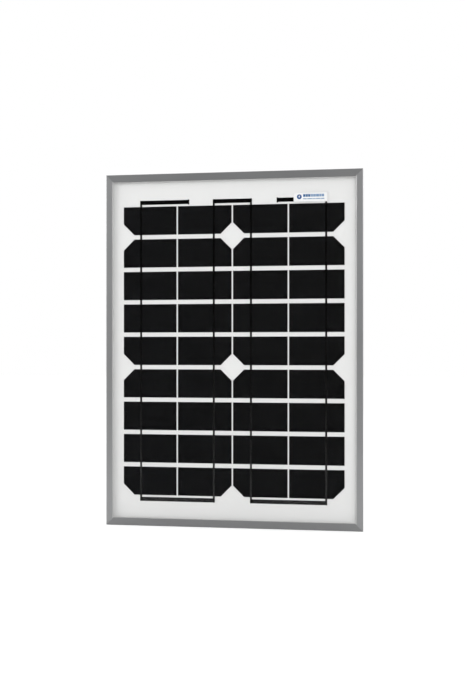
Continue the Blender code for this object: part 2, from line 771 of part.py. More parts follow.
def add_terminals(finishes):
    screw_seat = BLOCK_BACK + FIT_GAP
    length = screw_seat - WIRE_Y - WIRE_BORE
    sizes = (CLAMP_SCREW_RADIUS, CLAMP_HEAD_RADIUS, CLAMP_HEAD_THICK, length)
    block_z = sum(BLOCK_ENDS) / 2
    for sign, sx in (("positive", -1), ("negative", 1)):
        x = sx * TERMINAL_X
        half = PLATE_WIDTH / 2
        front = BOX_FLOOR + FIT_GAP
        plate = box_mesh((x - half, front, PLATE_ENDS[0]), (x + half, PLATE_BACK, PLATE_ENDS[1]))
        terminal = add_object(f"terminal_{sign}", plate, finishes["brass"])
        half = BLOCK_WIDTH / 2
        low = (x - half, PLATE_BACK - 0.5, BLOCK_ENDS[0])
        join(terminal, box_mesh(low, (x + half, BLOCK_BACK, BLOCK_ENDS[1])))
        wire = circle(WIRE_BORE, (x, WIRE_Y), 16)
        cut(terminal, prism([wire], BLOCK_ENDS[0] - 1, BLOCK_ENDS[1] + 1, "XY"))
        thread = circle(CLAMP_SCREW_RADIUS + THREAD_CLEAR, (x, block_z), 16)
        cut(terminal, prism([thread], WIRE_Y, BLOCK_BACK + 1))
        add_screw(f"terminal_screw_{sign}", (x, screw_seat, block_z), sizes, finishes["steel"])


def add_diode(finish):
    """An axial diode whose two leads bend down onto the terminal plates."""
    half = DIODE_LENGTH / 2
    body = prism([circle(DIODE_RADIUS, (DIODE_Y, DIODE_Z), 16)], -half, half, "YZ")
    diode = add_object("bypass_diode", body, finish)
    lead = circle(DIODE_LEAD_RADIUS, (DIODE_Y, DIODE_Z), 8)
    join(diode, prism([lead], -TERMINAL_X, TERMINAL_X, "YZ"))
    for sx in (-1, 1):
        leg = circle(DIODE_LEAD_RADIUS, (sx * TERMINAL_X, DIODE_Z), 8)
        join(diode, prism([leg], PLATE_BACK + FIT_GAP, DIODE_Y + DIODE_LEAD_RADIUS / 2))


# ---------------------------------------------------------------- cable glands
def add_gland(side, sx, finishes):
    at = (sx * GLAND_X, GLAND_Y, 0.0)
    cone_radius, cone_depth = NECK_CONE
    body = add_object(
        f"gland_body_{side}",
        turned([
            (GLAND_BORE, GLAND_SHANK_END),
            (GLAND_SHANK, GLAND_SHANK_END),
            (GLAND_SHANK, FLANGE_TOP - 1),
            (NECK_RADIUS, FLANGE_TOP - 1),
            (NECK_RADIUS, NECK_END),
            (cone_radius, NECK_END),
            (GLAND_BORE, NECK_END + cone_depth),
        ]),
        finishes["box"],
        at,
    )
    hexes = [hexagon(GLAND_FLATS), circle(GLAND_SHANK - 0.3)]
    join(body, prism(hexes, FLANGE_BOTTOM, FLANGE_TOP, "XY"))

    washer = [circle(WASHER_RADIUS), circle(GLAND_SHANK + THREAD_CLEAR)]
    top = BOX_BOTTOM - FILM_GAP
    washer_mesh = prism(washer, top - WASHER_THICK, top, "XY")
    add_object(f"gland_washer_{side}", washer_mesh, finishes["rubber"], at)

    locknut = [hexagon(LOCKNUT_FLATS), circle(GLAND_SHANK + THREAD_CLEAR)]
    low = BOX_BOTTOM + BOX_WALL + FIT_GAP
    locknut_mesh = prism(locknut, low, low + LOCKNUT_THICK, "XY")
    add_object(f"gland_locknut_{side}", locknut_mesh, finishes["box"], at)

    seal_low, seal_high = NUT_SHOULDER + FIT_GAP, NECK_END - FIT_GAP
    seal = turned([
        (GLAND_BORE, seal_low),
        (SEAL_RADIUS, seal_low),
        (SEAL_RADIUS, seal_high - SEAL_TAPER),
        (cone_radius - 0.2, seal_high),
        (GLAND_BORE, seal_high),
    ])
    add_object(f"gland_seal_{side}", seal, finishes["rubber"], at)

    nut = add_object(
        f"gland_nut_{side}",
        prism([hexagon(GLAND_FLATS), circle(NUT_BORE)], NUT_SHOULDER - 0.5, NUT_TOP, "XY"),
        finishes["box"],
        at,
    )
    dome = turned([
        (NUT_MOUTH, NUT_END),
        (NUT_BORE, NUT_END),
        (NUT_DOME, NUT_END + 1.2),
        (NUT_DOME, NUT_SHOULDER),
        (NUT_MOUTH, NUT_SHOULDER),
    ])
    join(nut, dome)


# ---------------------------------------------------------------- the whole panel
def build_panel():
    clear_scene()
    finishes = make_materials()
    add_frame(finishes["anodised"])
    add_corner_keys(finishes["key"])
    add_sheets(finishes)
    add_edge_seal(finishes["seal"])
    add_cell_strings(finishes["cell"])
    add_buses(finishes["ribbon"])
    add_labels(finishes["label"])
    add_box_base(finishes["box"])
    add_lid(finishes["box"])
    add_box_trim(finishes)
    add_lid_screws(finishes["steel"])
    add_terminals(finishes)
    add_diode(finishes["diode"])
    for side, sx in (("left", -1), ("right", 1)):
        add_gland(side, sx, finishes)


build_panel()
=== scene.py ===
# %% [markdown]
# # A small framed solar panel
#
# Thirty-six dark silicon cells lie behind a sheet of tempered glass, in a satin aluminium frame.
# A black junction box sits on the white sheet behind them. This lesson loads the engineering
# model, keeps every place and size that it gives, and makes the surfaces that the eye sees.

# %% Load the frame and note its box
import math
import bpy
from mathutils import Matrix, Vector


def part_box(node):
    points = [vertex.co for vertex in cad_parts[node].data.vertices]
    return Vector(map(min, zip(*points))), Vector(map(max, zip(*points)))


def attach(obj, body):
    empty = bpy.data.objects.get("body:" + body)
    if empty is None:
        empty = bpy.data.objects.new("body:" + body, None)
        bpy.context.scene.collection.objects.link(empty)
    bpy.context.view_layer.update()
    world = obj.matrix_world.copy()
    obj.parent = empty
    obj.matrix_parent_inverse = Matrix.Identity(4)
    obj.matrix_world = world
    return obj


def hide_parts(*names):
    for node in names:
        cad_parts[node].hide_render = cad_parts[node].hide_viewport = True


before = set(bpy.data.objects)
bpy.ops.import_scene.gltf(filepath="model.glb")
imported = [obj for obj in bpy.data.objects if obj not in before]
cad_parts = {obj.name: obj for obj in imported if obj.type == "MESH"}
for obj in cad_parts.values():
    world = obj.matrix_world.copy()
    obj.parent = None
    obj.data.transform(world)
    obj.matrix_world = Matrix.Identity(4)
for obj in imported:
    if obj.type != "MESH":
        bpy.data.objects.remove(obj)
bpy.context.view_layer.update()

import bmesh
import bpy
from mathutils import Matrix, Vector
from mathutils.geometry import tessellate_polygon

# %% [markdown]
# ## Units and places
#
# Blender works in metres, and a panel maker in millimetres. Shapes here are drawn in millimetres
# and scaled once, when a mesh is made. Places are read from the engineering model wherever a node
# marks them, so a piece always lands on the part that it stands for.

# %% Units, and a reader for the model's places
MM = 0.001
PANEL = "panel"


def reach(node):
    """Lowest and highest corner of a node of the engineering model, in millimetres."""
    low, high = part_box(node)
    return Vector(low) / MM, Vector(high) / MM


rail_low, rail_high = reach("side_rail_left")
WIDTH = 2 * -rail_low.x
HEIGHT = round(reach("end_rail_top")[1].z, 3)
FRONT, BACK = rail_low.y, rail_high.y
print("panel:", round(WIDTH, 1), "by", round(HEIGHT, 1), "by", round(BACK - FRONT, 1), "mm")

# %% [markdown]
# ## The camera
#
# The panel is seen from its own mid height with a normal lens, a little to the right of its
# middle, so that its right edge is nearer. Working from a distance and an angle about the middle
# of the glass keeps the uprights parallel: the lens looks level, so nothing converges upwards.

# %% Place the camera
LENS = 50.0
VIEW_ANGLE = math.radians(8.688)
CAMERA_SIDE = 199.8
CAMERA_BACK = 1294.7

camera_data = bpy.data.cameras.new("camera")
camera_data.lens = LENS
camera = bpy.data.objects.new("camera", camera_data)
camera.location = Vector((CAMERA_SIDE, FRONT - CAMERA_BACK, HEIGHT / 2)) * MM
camera.rotation_euler = (math.pi / 2, 0.0, VIEW_ANGLE)
bpy.context.scene.collection.objects.link(camera)
bpy.context.scene.camera = camera
print("camera at", [round(v, 3) for v in camera.location])

# %% [markdown]
# ## Floor and light
#
# Glass that faces the camera mirrors whatever stands behind the camera, so a studio keeps that
# side dark and the cells stay black. The room here is a plain white dome with a soft dark patch
# on that side. A dome costs less to render than many lamps, and it wraps light round the rails as
# a white tent does. Small helpers come first: one adds a shader node, one makes a soft step.


# %% Build the room
def node(tree, kind, settings=None, **sockets):
    """Adds a node; a socket is set by its name, or by its number after an underscore."""
    made = tree.nodes.new("ShaderNode" + kind)
    for key, value in (settings or {}).items():
        setattr(made, key, value)
    for key, value in sockets.items():
        socket = made.inputs[int(key[1:])] if key[0] == "_" else made.inputs[key.replace("_", " ")]
        if isinstance(value, bpy.types.NodeSocket):
            tree.links.new(value, socket)
        else:
            socket.default_value = value
    return made


ROOM_WHITE = 0.70
SEEN_WHITE = 1.0
BEHIND_PANEL = 0.85
OVERHEAD = 0.85
DARK_PATCH = 0.45
PATCH_EDGE = (0.88, 0.995)
TURN_TO_BACK = (-0.6, 0.1)
RISE_TO_TOP = (0.2, 1.0)

world = bpy.data.worlds.new("room")
bpy.context.scene.world = world
world.use_nodes = True
room = world.node_tree
room.nodes.clear()
mirrored_side = (-math.sin(VIEW_ANGLE), -math.cos(VIEW_ANGLE), 0.0)
direction = node(room, "TexCoord").outputs["Generated"]
facing = node(room, "VectorMath", {"operation": "DOT_PRODUCT"}, _0=direction, _1=mirrored_side)


def soft_step(value, low, high, start, end):
    """A smooth change from start to end as the value goes from low to high."""
    made = node(
        room, "MapRange", {"interpolation_type": "SMOOTHSTEP"},
        Value=value, From_Min=low, From_Max=high, To_Min=start, To_Max=end,
    )
    return made.outputs["Result"]


height_of = node(room, "SeparateXYZ", Vector=direction).outputs["Z"]
around = soft_step(facing.outputs["Value"], *TURN_TO_BACK, BEHIND_PANEL, ROOM_WHITE)
patch = soft_step(facing.outputs["Value"], *PATCH_EDGE, 1.0, DARK_PATCH)
above = soft_step(height_of, *RISE_TO_TOP, 1.0, OVERHEAD)
shaded = node(room, "Math", {"operation": "MULTIPLY"}, _0=around, _1=patch).outputs[0]
light = node(room, "Math", {"operation": "MULTIPLY"}, _0=shaded, _1=above).outputs[0]
seen = node(room, "LightPath").outputs["Is Camera Ray"]
level = node(room, "Mix", {"data_type": "FLOAT"}, _0=seen, _2=light, _3=SEEN_WHITE)
dome = node(room, "Background", Color=(1.0, 1.0, 1.0, 1.0), Strength=level.outputs[0])
node(room, "OutputWorld", Surface=dome.outputs[0])

scene_view = bpy.context.scene.view_settings
scene_view.view_transform = "Standard"
print("room: dome", ROOM_WHITE, "with a patch of", DARK_PATCH, "behind the camera")


# %% [markdown]
# The dome alone would leave broad shade beside the rails, which stand proud of the glass. A large
# softbox near the camera fills it, and is hidden from reflections so that no hot spot shows. The
# two side lamps give the rails their edges, and one behind lights the back. The floor is a pale
# table with a little glow of its own, which keeps the panel's shadow faint.


# %% Lamps and floor
def softbox(name, place, aim, size, watts):
    lamp = bpy.data.lights.new(name, "AREA")
    lamp.shape = "DISK"
    lamp.size = size
    lamp.energy = watts
    made = bpy.data.objects.new(name, lamp)
    made.location = place
    made.rotation_euler = (Vector(aim) - Vector(place)).to_track_quat("-Z", "Y").to_euler()
    bpy.context.scene.collection.objects.link(made)
    return made


MIDDLE = (0.0, 0.0, HEIGHT * MM / 2)
FLOOR_GLOW = 0.05
FLOOR_SEEN_GLOW = 0.55
lamp_front = softbox("lamp_front", (0.35, -2.2, 0.3), MIDDLE, 0.8, 18.0)
lamp_front.visible_glossy = False
lamp_front.visible_transmission = False
softbox("lamp_left", (-1.7, -1.1, 0.9), MIDDLE, 0.9, 11.0)
softbox("lamp_right", (1.2, -1.7, 0.7), MIDDLE, 0.9, 3.5)
softbox("lamp_behind", (0.6, 1.9, 1.3), MIDDLE, 1.2, 4.5)

floor_paint = bpy.data.materials.new("floor_paint")
floor_paint.use_nodes = True
floor_shader = floor_paint.node_tree.nodes["Principled BSDF"]
floor_shader.inputs["Base Color"].default_value = (0.76, 0.76, 0.76, 1.0)
floor_shader.inputs["Roughness"].default_value = 0.8
floor_shader.inputs["Specular IOR Level"].default_value = 0.1
floor_shader.inputs["Emission Color"].default_value = (1.0, 1.0, 1.0, 1.0)
floor_tree = floor_paint.node_tree
floor_seen = node(floor_tree, "LightPath").outputs["Is Camera Ray"]
glow = node(floor_tree, "MapRange", Value=floor_seen, To_Min=FLOOR_GLOW, To_Max=FLOOR_SEEN_GLOW)
floor_tree.links.new(glow.outputs["Result"], floor_shader.inputs["Emission Strength"])

FLOOR_SIZE = 4.0
FLOOR_START = -0.75
FLOOR_DROP = 0.0004
floor_shape = bmesh.new()
bmesh.ops.create_grid(floor_shape, x_segments=1, y_segments=1, size=FLOOR_SIZE)
floor_mesh = bpy.data.meshes.new("floor")
floor_shape.to_mesh(floor_mesh)
floor_shape.free()
floor_mesh.materials.append(floor_paint)
floor = bpy.data.objects.new("floor", floor_mesh)
floor.location = (0.0, FLOOR_START + FLOOR_SIZE, -FLOOR_DROP)
bpy.context.scene.collection.objects.link(floor)
print("floor", FLOOR_SIZE * 2, "m wide, four lamps")

# %% [markdown]
# ## Drawing closed shapes
#
# Nearly every piece of a panel is flat stock: extruded, punched or moulded from an outline. One
# builder draws an outline and its holes into a solid, and rounds the rim by stepping the outline
# inwards as a file would. Bevel modifiers could do this too, but stepping keeps long thin pieces
# clean, and lets the rim carry a mark that the wear shader reads.


# %% Outlines
def circle(radius, centre=(0.0, 0.0), count=48):
    turn = 2 * math.pi / count
    return [
        (centre[0] + radius * math.cos(i * turn), centre[1] + radius * math.sin(i * turn))
        for i in range(count)
    ]


def rectangle(width, height, centre=(0.0, 0.0)):
    corners = ((-1, -1), (1, -1), (1, 1), (-1, 1))
    return [(centre[0] + sx * width / 2, centre[1] + sy * height / 2) for sx, sy in corners]


def filleted(points, radii, steps=4):
    """Rounds each corner of an outline with an arc; a radius of 0 leaves the corner sharp."""
    rounded = []
    count = len(points)
    for i, point in enumerate(points):
        radius = radii[i] if isinstance(radii, (list, tuple)) else radii
        here = Vector(point)
        before = (Vector(points[i - 1]) - here).normalized()
        after = (Vector(points[(i + 1) % count]) - here).normalized()
        half = before.angle(after) / 2
        if radius <= 0 or half > math.pi / 2 - 0.01:
            rounded.append(tuple(here))
            continue
        back = radius / math.tan(half)
        centre = here + (before + after).normalized() * radius / math.sin(half)
        first, last = here + before * back - centre, here + after * back - centre
        sweep = first.angle_signed(last)
        for k in range(steps + 1):
            turned = first.copy()
            turned.rotate(Matrix.Rotation(-sweep * k / steps, 2))
            rounded.append(tuple(centre + turned))
    return rounded


def rounded_rectangle(width, height, radius, centre=(0.0, 0.0), steps=6):
    return filleted(rectangle(width, height, centre), radius, steps)


def area(outline):
    pairs = zip(outline, outline[1:] + outline[:1])
    return sum(a[0] * b[1] - b[0] * a[1] for a, b in pairs) / 2


def stepped_in(outline, inset):
    """Moves an outline into its material by the inset, keeping its corners mitred."""
    moved = []
    count = len(outline)
    for i, point in enumerate(outline):
        here = Vector(point)
        arriving = (here - Vector(outline[i - 1])).normalized()
        leaving = (Vector(outline[(i + 1) % count]) - here).normalized()
        left_a, left_b = Vector((-arriving.y, arriving.x)), Vector((-leaving.y, leaving.x))
        moved.append(tuple(here + inset * (left_a + left_b) / (1 + left_a.dot(left_b))))
    return moved


print("a 10 mm square with 2 mm corners has", len(rounded_rectangle(10, 10, 2)), "points")


# %% [markdown]
# The solid builder closes both ends with flat faces and joins them by walls. The stepped rim gives
# the rounded edges. Every builder ends in the same few lines, which face the surface outwards and
# shade it smooth up to a sharp angle.

# %% Solids from outlines
PLANES = {
    "XY": lambda a, b, c: (a, b, c),
    "XZ": lambda a, b, c: (a, c, b),
    "YZ": lambda a, b, c: (c, a, b),
}
SHARP_ABOVE = math.radians(50)


def close_mesh(shape, name="shape"):
    bmesh.ops.recalc_face_normals(shape, faces=shape.faces)
    mesh = bpy.data.meshes.new(name)
    shape.to_mesh(mesh)
    shape.free()
    mesh.shade_smooth()
    mesh.set_sharp_from_angle(angle=SHARP_ABOVE)
    return mesh


def solid(outlines, low, high, plane="XZ", edge=0.0, steps=1, mitre=0.0):
    """An outline with its holes, drawn from low to high, with rims rounded to the edge radius."""
    outer = outlines[0] if area(outlines[0]) > 0 else outlines[0][::-1]
    holes = [hole if area(hole) < 0 else hole[::-1] for hole in outlines[1:]]
    loops = [outer] + holes
    levels = [(0.0, 0.0)]
    if edge > 0:
        arcs = [math.pi / 2 * k / steps for k in range(steps + 1)]
        levels = [(edge * (1 - math.sin(t)), edge * (1 - math.cos(t))) for t in arcs]
    rows = [(inset, low + rise, 1) for inset, rise in levels]
    rows += [(inset, high - rise, -1) for inset, rise in reversed(levels)]
    shape = bmesh.new()
    rim = shape.faces.layers.float.new("rim")
    made, flat = [], []
    for inset, c, end in rows:
        row = []
        for loop in loops:
            moved = stepped_in(loop, inset) if inset else loop
            row.append([
                shape.verts.new(Vector(PLANES[plane](a, b, c + end * mitre * a)) * MM)
                for a, b in moved
            ])
            if len(flat) < len(loops):
                flat.append([Vector((a, b, 0.0)) for a, b in moved])
        made.append(row)
    for corners in tessellate_polygon(flat):
        for row in (made[0], made[-1]):
            points = [point for loop in row for point in loop]
            shape.faces.new([points[i] for i in corners])
    for k, (near, far) in enumerate(zip(made, made[1:])):
        for loop, other in zip(near, far):
            for i in range(len(loop)):
                j = (i + 1) % len(loop)
                face = shape.faces.new((loop[i], loop[j], other[j], other[i]))
                face[rim] = 0.0 if k == len(levels) - 1 or edge == 0 else 1.0
    return close_mesh(shape)


sample = solid([rectangle(10, 10), circle(2)], 0, 3, edge=0.4)
print("a drilled plate has", len(sample.polygons), "faces")
bpy.data.meshes.remove(sample)


# %% [markdown]
# Round parts come off a lathe, so a second builder turns a profile about an axis. A third makes
# the plain rectangular blocks that terminals, ribs and marks start from.

# %% Turned parts and blocks
def turned(profile, count=48, centre=(0.0, 0.0), axis="Z"):
    """A closed profile of (radius, height) points swept round an axis."""
    shape = bmesh.new()
    rings = []
    for i in range(count):
        angle = 2 * math.pi * i / count
        ring = []
        for radius, height in profile:
            a = centre[0] + radius * math.cos(angle)
            b = centre[1] + radius * math.sin(angle)
            spot = (a, b, height) if axis == "Z" else (a, height, b)
            ring.append(shape.verts.new(Vector(spot) * MM))
        rings.append(ring)
    for i, near in enumerate(rings):
        far = rings[(i + 1) % count]
        for k in range(len(profile)):
            m = (k + 1) % len(profile)
            shape.faces.new((near[k], near[m], far[m], far[k]))
    bmesh.ops.remove_doubles(shape, verts=shape.verts, dist=1e-7)
    return close_mesh(shape)


def block(low, high, edge=0.0):
    centre = ((low[0] + high[0]) / 2, (low[2] + high[2]) / 2)
    outline = rectangle(high[0] - low[0], high[2] - low[2], centre)
    return solid([outline], low[1], high[1], edge=edge)


sample = turned([(2, 0), (4, 0), (4, 1), (2, 1)])
print("a turned washer has", len(sample.polygons), "faces")
bpy.data.meshes.remove(sample)


# %% [markdown]
# ## Joining and cutting
#
# A moulding grows from simple solids: walls, bosses, ribs and bores. Exact Booleans join them into
# one closed skin, which prints and exports well. The helper solids are thrown away at once, so
# the scene holds only real pieces.


# %% Booleans and pieces
def carved(base, joins=(), cuts=()):
    """A mesh with others joined on, then others cut away."""
    target = bpy.data.objects.new("carving", base)
    bpy.context.scene.collection.objects.link(target)
    helpers = []
    for operation, meshes in (("UNION", joins), ("DIFFERENCE", cuts)):
        for mesh in meshes:
            helper = bpy.data.objects.new("helper", mesh)
            bpy.context.scene.collection.objects.link(helper)
            helpers.append(helper)
            modifier = target.modifiers.new("carve", "BOOLEAN")
            modifier.operation = operation
            modifier.solver = "EXACT"
            modifier.object = helper
    ready = target.evaluated_get(bpy.context.evaluated_depsgraph_get())
    mesh = bpy.data.meshes.new_from_object(ready)
    for old in helpers + [target]:
        old_mesh = old.data
        bpy.data.objects.remove(old)
        bpy.data.meshes.remove(old_mesh)
    mesh.shade_smooth()
    mesh.set_sharp_from_angle(angle=SHARP_ABOVE)
    return mesh


def add_piece(name, mesh, finish, body=PANEL, replaces=()):
    """A finished piece: it rides on a body, takes the finish given, and hides the nodes it stands for."""
    mesh.name = name
    mesh.materials.clear()
    mesh.materials.append(finish)
    piece = bpy.data.objects.new(name, mesh)
    bpy.context.scene.collection.objects.link(piece)
    shading = piece.modifiers.new("even_shading", "WEIGHTED_NORMAL")
    shading.keep_sharp = True
    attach(piece, body)
    if replaces:
        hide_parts(*replaces)
    return piece


def joined(meshes):
    """Several separate solids kept in one mesh, such as the lines of a print."""
    shape = bmesh.new()
    for mesh in meshes:
        shape.from_mesh(mesh)
        bpy.data.meshes.remove(mesh)
    return close_mesh(shape)


def repaint(name, finish):
    """Gives a node of the engineering model its finish."""
    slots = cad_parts[name].data.materials
    slots.clear()
    slots.append(finish)


# %% [markdown]
# ## Surface effects that several finishes share
#
# Real finishes are never one flat value. Three effects cover this panel: a fine grain that mottles
# colour and gloss, drawn lines that extrusion and brushing leave, and pale wear along rims. Each
# is a node group with named inputs, so that one effect serves many materials at their own scale.


# %% A builder for groups
def effect(name, inputs, outputs):
    tree = bpy.data.node_groups.new(name, "ShaderNodeTree")
    for label, kind, value in inputs:
        socket = tree.interface.new_socket(label, in_out="INPUT", socket_type="NodeSocket" + kind)
        socket.default_value = value
    for label, kind in outputs:
        tree.interface.new_socket(label, in_out="OUTPUT", socket_type="NodeSocket" + kind)
    return tree, tree.nodes.new("NodeGroupInput").outputs, tree.nodes.new("NodeGroupOutput").inputs


def tinted(tree, colour, mask, change):
    """Colour made darker and lighter by up to the change, as the mask goes from 0 to 1."""
    low = node(tree, "Math", {"operation": "SUBTRACT"}, _0=1.0, _1=change)
    high = node(tree, "Math", {"operation": "ADD"}, _0=1.0, _1=change)
    factor = node(
        tree, "MapRange", Value=mask, To_Min=low.outputs[0], To_Max=high.outputs[0]
    ).outputs[0]
    return node(tree, "VectorMath", {"operation": "SCALE"}, _0=colour, Scale=factor).outputs[0]


def spread(tree, mask, middle, change):
    """A value that swings about its middle by the change."""
    shifted = node(tree, "Math", {"operation": "SUBTRACT"}, _0=mask, _1=0.5).outputs[0]
    doubled = node(tree, "Math", {"operation": "MULTIPLY"}, _0=shifted, _1=2.0).outputs[0]
    made = node(
        tree, "Math", {"operation": "MULTIPLY_ADD", "use_clamp": True},
        _0=doubled, _1=change, _2=middle,
    )
    return made.outputs[0]


print("effects are groups with named sockets")

# %% [markdown]
# Fine grain is what moulded plastic, rubber, film and paint share: tiny specks over a slow
# mottle. Two noises do it, one 25 times broader than the other, both in the object's own space so
# that the grain stays put when a lid opens.

# %% Fine grain
grain, grain_in, grain_out = effect(
    "fine_grain",
    [
        ("Color", "Color", (0.5, 0.5, 0.5, 1.0)),
        ("Roughness", "Float", 0.5),
        ("Scale", "Float", 800.0),
        ("Color Change", "Float", 0.05),
        ("Roughness Change", "Float", 0.05),
    ],
    [("Color", "Color"), ("Roughness", "Float"), ("Height", "Float")],
)
spot = node(grain, "TexCoord").outputs["Object"]
fine = node(grain, "TexNoise", Vector=spot, Scale=grain_in["Scale"], Detail=3.0, Roughness=0.6)
wide_scale = node(grain, "Math", {"operation": "MULTIPLY"}, _0=grain_in["Scale"], _1=0.04).outputs[0]
wide = node(grain, "TexNoise", Vector=spot, Scale=wide_scale, Detail=2.0)
both = node(grain, "Math", {"operation": "ADD"}, _0=fine.outputs["Fac"], _1=wide.outputs["Fac"])
mottle = node(grain, "Math", {"operation": "MULTIPLY"}, _0=both.outputs[0], _1=0.5).outputs[0]
grain.links.new(tinted(grain, grain_in["Color"], mottle, grain_in["Color Change"]), grain_out["Color"])
grain.links.new(
    spread(grain, wide.outputs["Fac"], grain_in["Roughness"], grain_in["Roughness Change"]),
    grain_out["Roughness"],
)
grain.links.new(fine.outputs["Fac"], grain_out["Height"])
print("fine_grain has", len(grain.nodes), "nodes")

# %% [markdown]
# Drawn lines come from the die or the brush. A noise that is squeezed across the grain and
# stretched along it gives them, and a slow cloud over it breaks the evenness of a long rail. The
# stretch is an input, because an upright rail and a level one need different directions.

# %% Drawn lines
lines, lines_in, lines_out = effect(
    "drawn_lines",
    [
        ("Color", "Color", (0.5, 0.5, 0.5, 1.0)),
        ("Roughness", "Float", 0.4),
        ("Stretch", "Vector", (4000.0, 4000.0, 20.0)),
        ("Color Change", "Float", 0.04),
        ("Roughness Change", "Float", 0.06),
    ],
    [("Color", "Color"), ("Roughness", "Float"), ("Height", "Float")],
)
spot = node(lines, "TexCoord").outputs["Object"]
pulled = node(lines, "VectorMath", {"operation": "MULTIPLY"}, _0=spot, _1=lines_in["Stretch"])
streak = node(lines, "TexNoise", Vector=pulled.outputs[0], Scale=1.0, Detail=3.0, Roughness=0.65)
cloud = node(lines, "TexNoise", Vector=spot, Scale=18.0, Detail=2.0)
both = node(lines, "Math", {"operation": "ADD"}, _0=streak.outputs["Fac"], _1=cloud.outputs["Fac"])
blend = node(lines, "Math", {"operation": "MULTIPLY"}, _0=both.outputs[0], _1=0.5).outputs[0]
lines.links.new(tinted(lines, lines_in["Color"], blend, lines_in["Color Change"]), lines_out["Color"])
lines.links.new(
    spread(lines, blend, lines_in["Roughness"], lines_in["Roughness Change"]),
    lines_out["Roughness"],
)
lines.links.new(streak.outputs["Fac"], lines_out["Height"])
print("drawn_lines has", len(lines.nodes), "nodes")

# %% [markdown]
# Handling rubs the edges first. The solid builder marked its rounded rims with an attribute, so
# the wear only has to read it and break it into patches. Curvature from the shader could do this
# too, but a mark in the mesh is exact and costs nothing.

# %% Rim wear
wear, wear_in, wear_out = effect(
    "rim_wear",
    [
        ("Color", "Color", (0.5, 0.5, 0.5, 1.0)),
        ("Worn Color", "Color", (0.8, 0.8, 0.8, 1.0)),
        ("Amount", "Float", 0.5),
        ("Scale", "Float", 150.0),
    ],
    [("Color", "Color"), ("Mask", "Float")],
)
spot = node(wear, "TexCoord").outputs["Object"]
rim_mark = node(wear, "Attribute", {"attribute_name": "rim"}).outputs["Fac"]
patchy = node(wear, "TexNoise", Vector=spot, Scale=wear_in["Scale"], Detail=4.0)
keen = node(wear, "MapRange", Value=patchy.outputs["Fac"], From_Min=0.35, From_Max=0.65)
on_rim = node(wear, "Math", {"operation": "MULTIPLY"}, _0=keen.outputs[0], _1=rim_mark)
mask = node(
    wear, "Math", {"operation": "MULTIPLY", "use_clamp": True},
    _0=on_rim.outputs[0], _1=wear_in["Amount"],
)
worn = node(
    wear, "Mix", {"data_type": "RGBA"},
    _0=mask.outputs[0], _6=wear_in["Color"], _7=wear_in["Worn Color"],
)
wear.links.new(worn.outputs[2], wear_out["Color"])
wear.links.new(mask.outputs[0], wear_out["Mask"])
print("rim_wear has", len(wear.nodes), "nodes")


# %% [markdown]
# ## Finishes
#
# Every finish starts from one Principled shader. Its colour and gloss come through the effects
# above, and a Bump node gives the relief that is too fine to model. Plain numbers, such as how
# metallic a finish is, are set on the shader itself.


# %% A builder for finishes
def paint(name, metallic=0.0, specular=0.5, **plain):
    """A material with its Principled shader: returns the material, its tree and the shader."""
    material = bpy.data.materials.new(name)
    material.use_nodes = True
    tree = material.node_tree
    shader = tree.nodes["Principled BSDF"]
    shader.inputs["Metallic"].default_value = metallic
    shader.inputs["Specular IOR Level"].default_value = specular
    for key, value in plain.items():
        shader.inputs[key.replace("_", " ")].default_value = value
    return material, tree, shader


def apply_effect(tree, group, shader, colour, roughness, relief, **values):
    """Feeds a shader's colour, roughness and normal from one of the effects."""
    box = tree.nodes.new("ShaderNodeGroup")
    box.node_tree = group
    for key, value in values.items():
        box.inputs[key.replace("_", " ")].default_value = value
    box.inputs["Roughness"].default_value = roughness
    if isinstance(colour, bpy.types.NodeSocket):
        tree.links.new(colour, box.inputs["Color"])
    else:
        box.inputs["Color"].default_value = (*colour, 1.0)
    tree.links.new(box.outputs["Color"], shader.inputs["Base Color"])
    tree.links.new(box.outputs["Roughness"], shader.inputs["Roughness"])
    bump = node(tree, "Bump", Height=box.outputs["Height"], Strength=1.0, Distance=relief * MM)
    tree.links.new(bump.outputs[0], shader.inputs["Normal"])
    return box


def worn_colour(tree, colour, worn, amount, scale=150.0):
    box = tree.nodes.new("ShaderNodeGroup")
    box.node_tree = wear
    box.inputs["Color"].default_value = (*colour, 1.0)
    box.inputs["Worn Color"].default_value = (*worn, 1.0)
    box.inputs["Amount"].default_value = amount
    box.inputs["Scale"].default_value = scale
    return box.outputs["Color"]


def grained(name, colour, roughness, scale, relief, change=0.05, worn=None, **plain):
    """A finish with fine grain, and with pale rims where worn gives their colour and amount."""
    material, tree, shader = paint(name, **plain)
    source = worn_colour(tree, colour, *worn) if worn else colour
    apply_effect(
        tree, grain, shader, source, roughness, relief, Scale=scale, Color_Change=change
    )
    return material


def drawn(name, colour, roughness, stretch, relief, worn, change=0.04, **plain):
    """A metal finish with drawn lines along the direction that the stretch leaves long."""
    material, tree, shader = paint(name, **plain)
    source = worn_colour(tree, colour, *worn)
    apply_effect(
        tree, lines, shader, source, roughness, relief, Stretch=stretch, Color_Change=change
    )
    return material


print("finish builders ready")

# %% [markdown]
# ### Metals
#
# The frame is extruded aluminium, clear anodised: an even grey satin with faint lines along each
# rail. Side rails and end rails are the same metal, but their lines run upright and level, so each
# has its own stretch. The end rails are also given a darker colour, which is a painted shade. The
# keys, terminals and screws are barer metals.

# %% Mix the metals
ANODISED = (0.472, 0.476, 0.483)
# Painted shade: the end rails are the same metal as the side rails, given a darker colour.
ANODISED_PAINTED_SHADE = (0.36, 0.363, 0.369)
RIM_METAL = (0.62, 0.62, 0.63)
FINE, LONG = 5000.0, 25.0

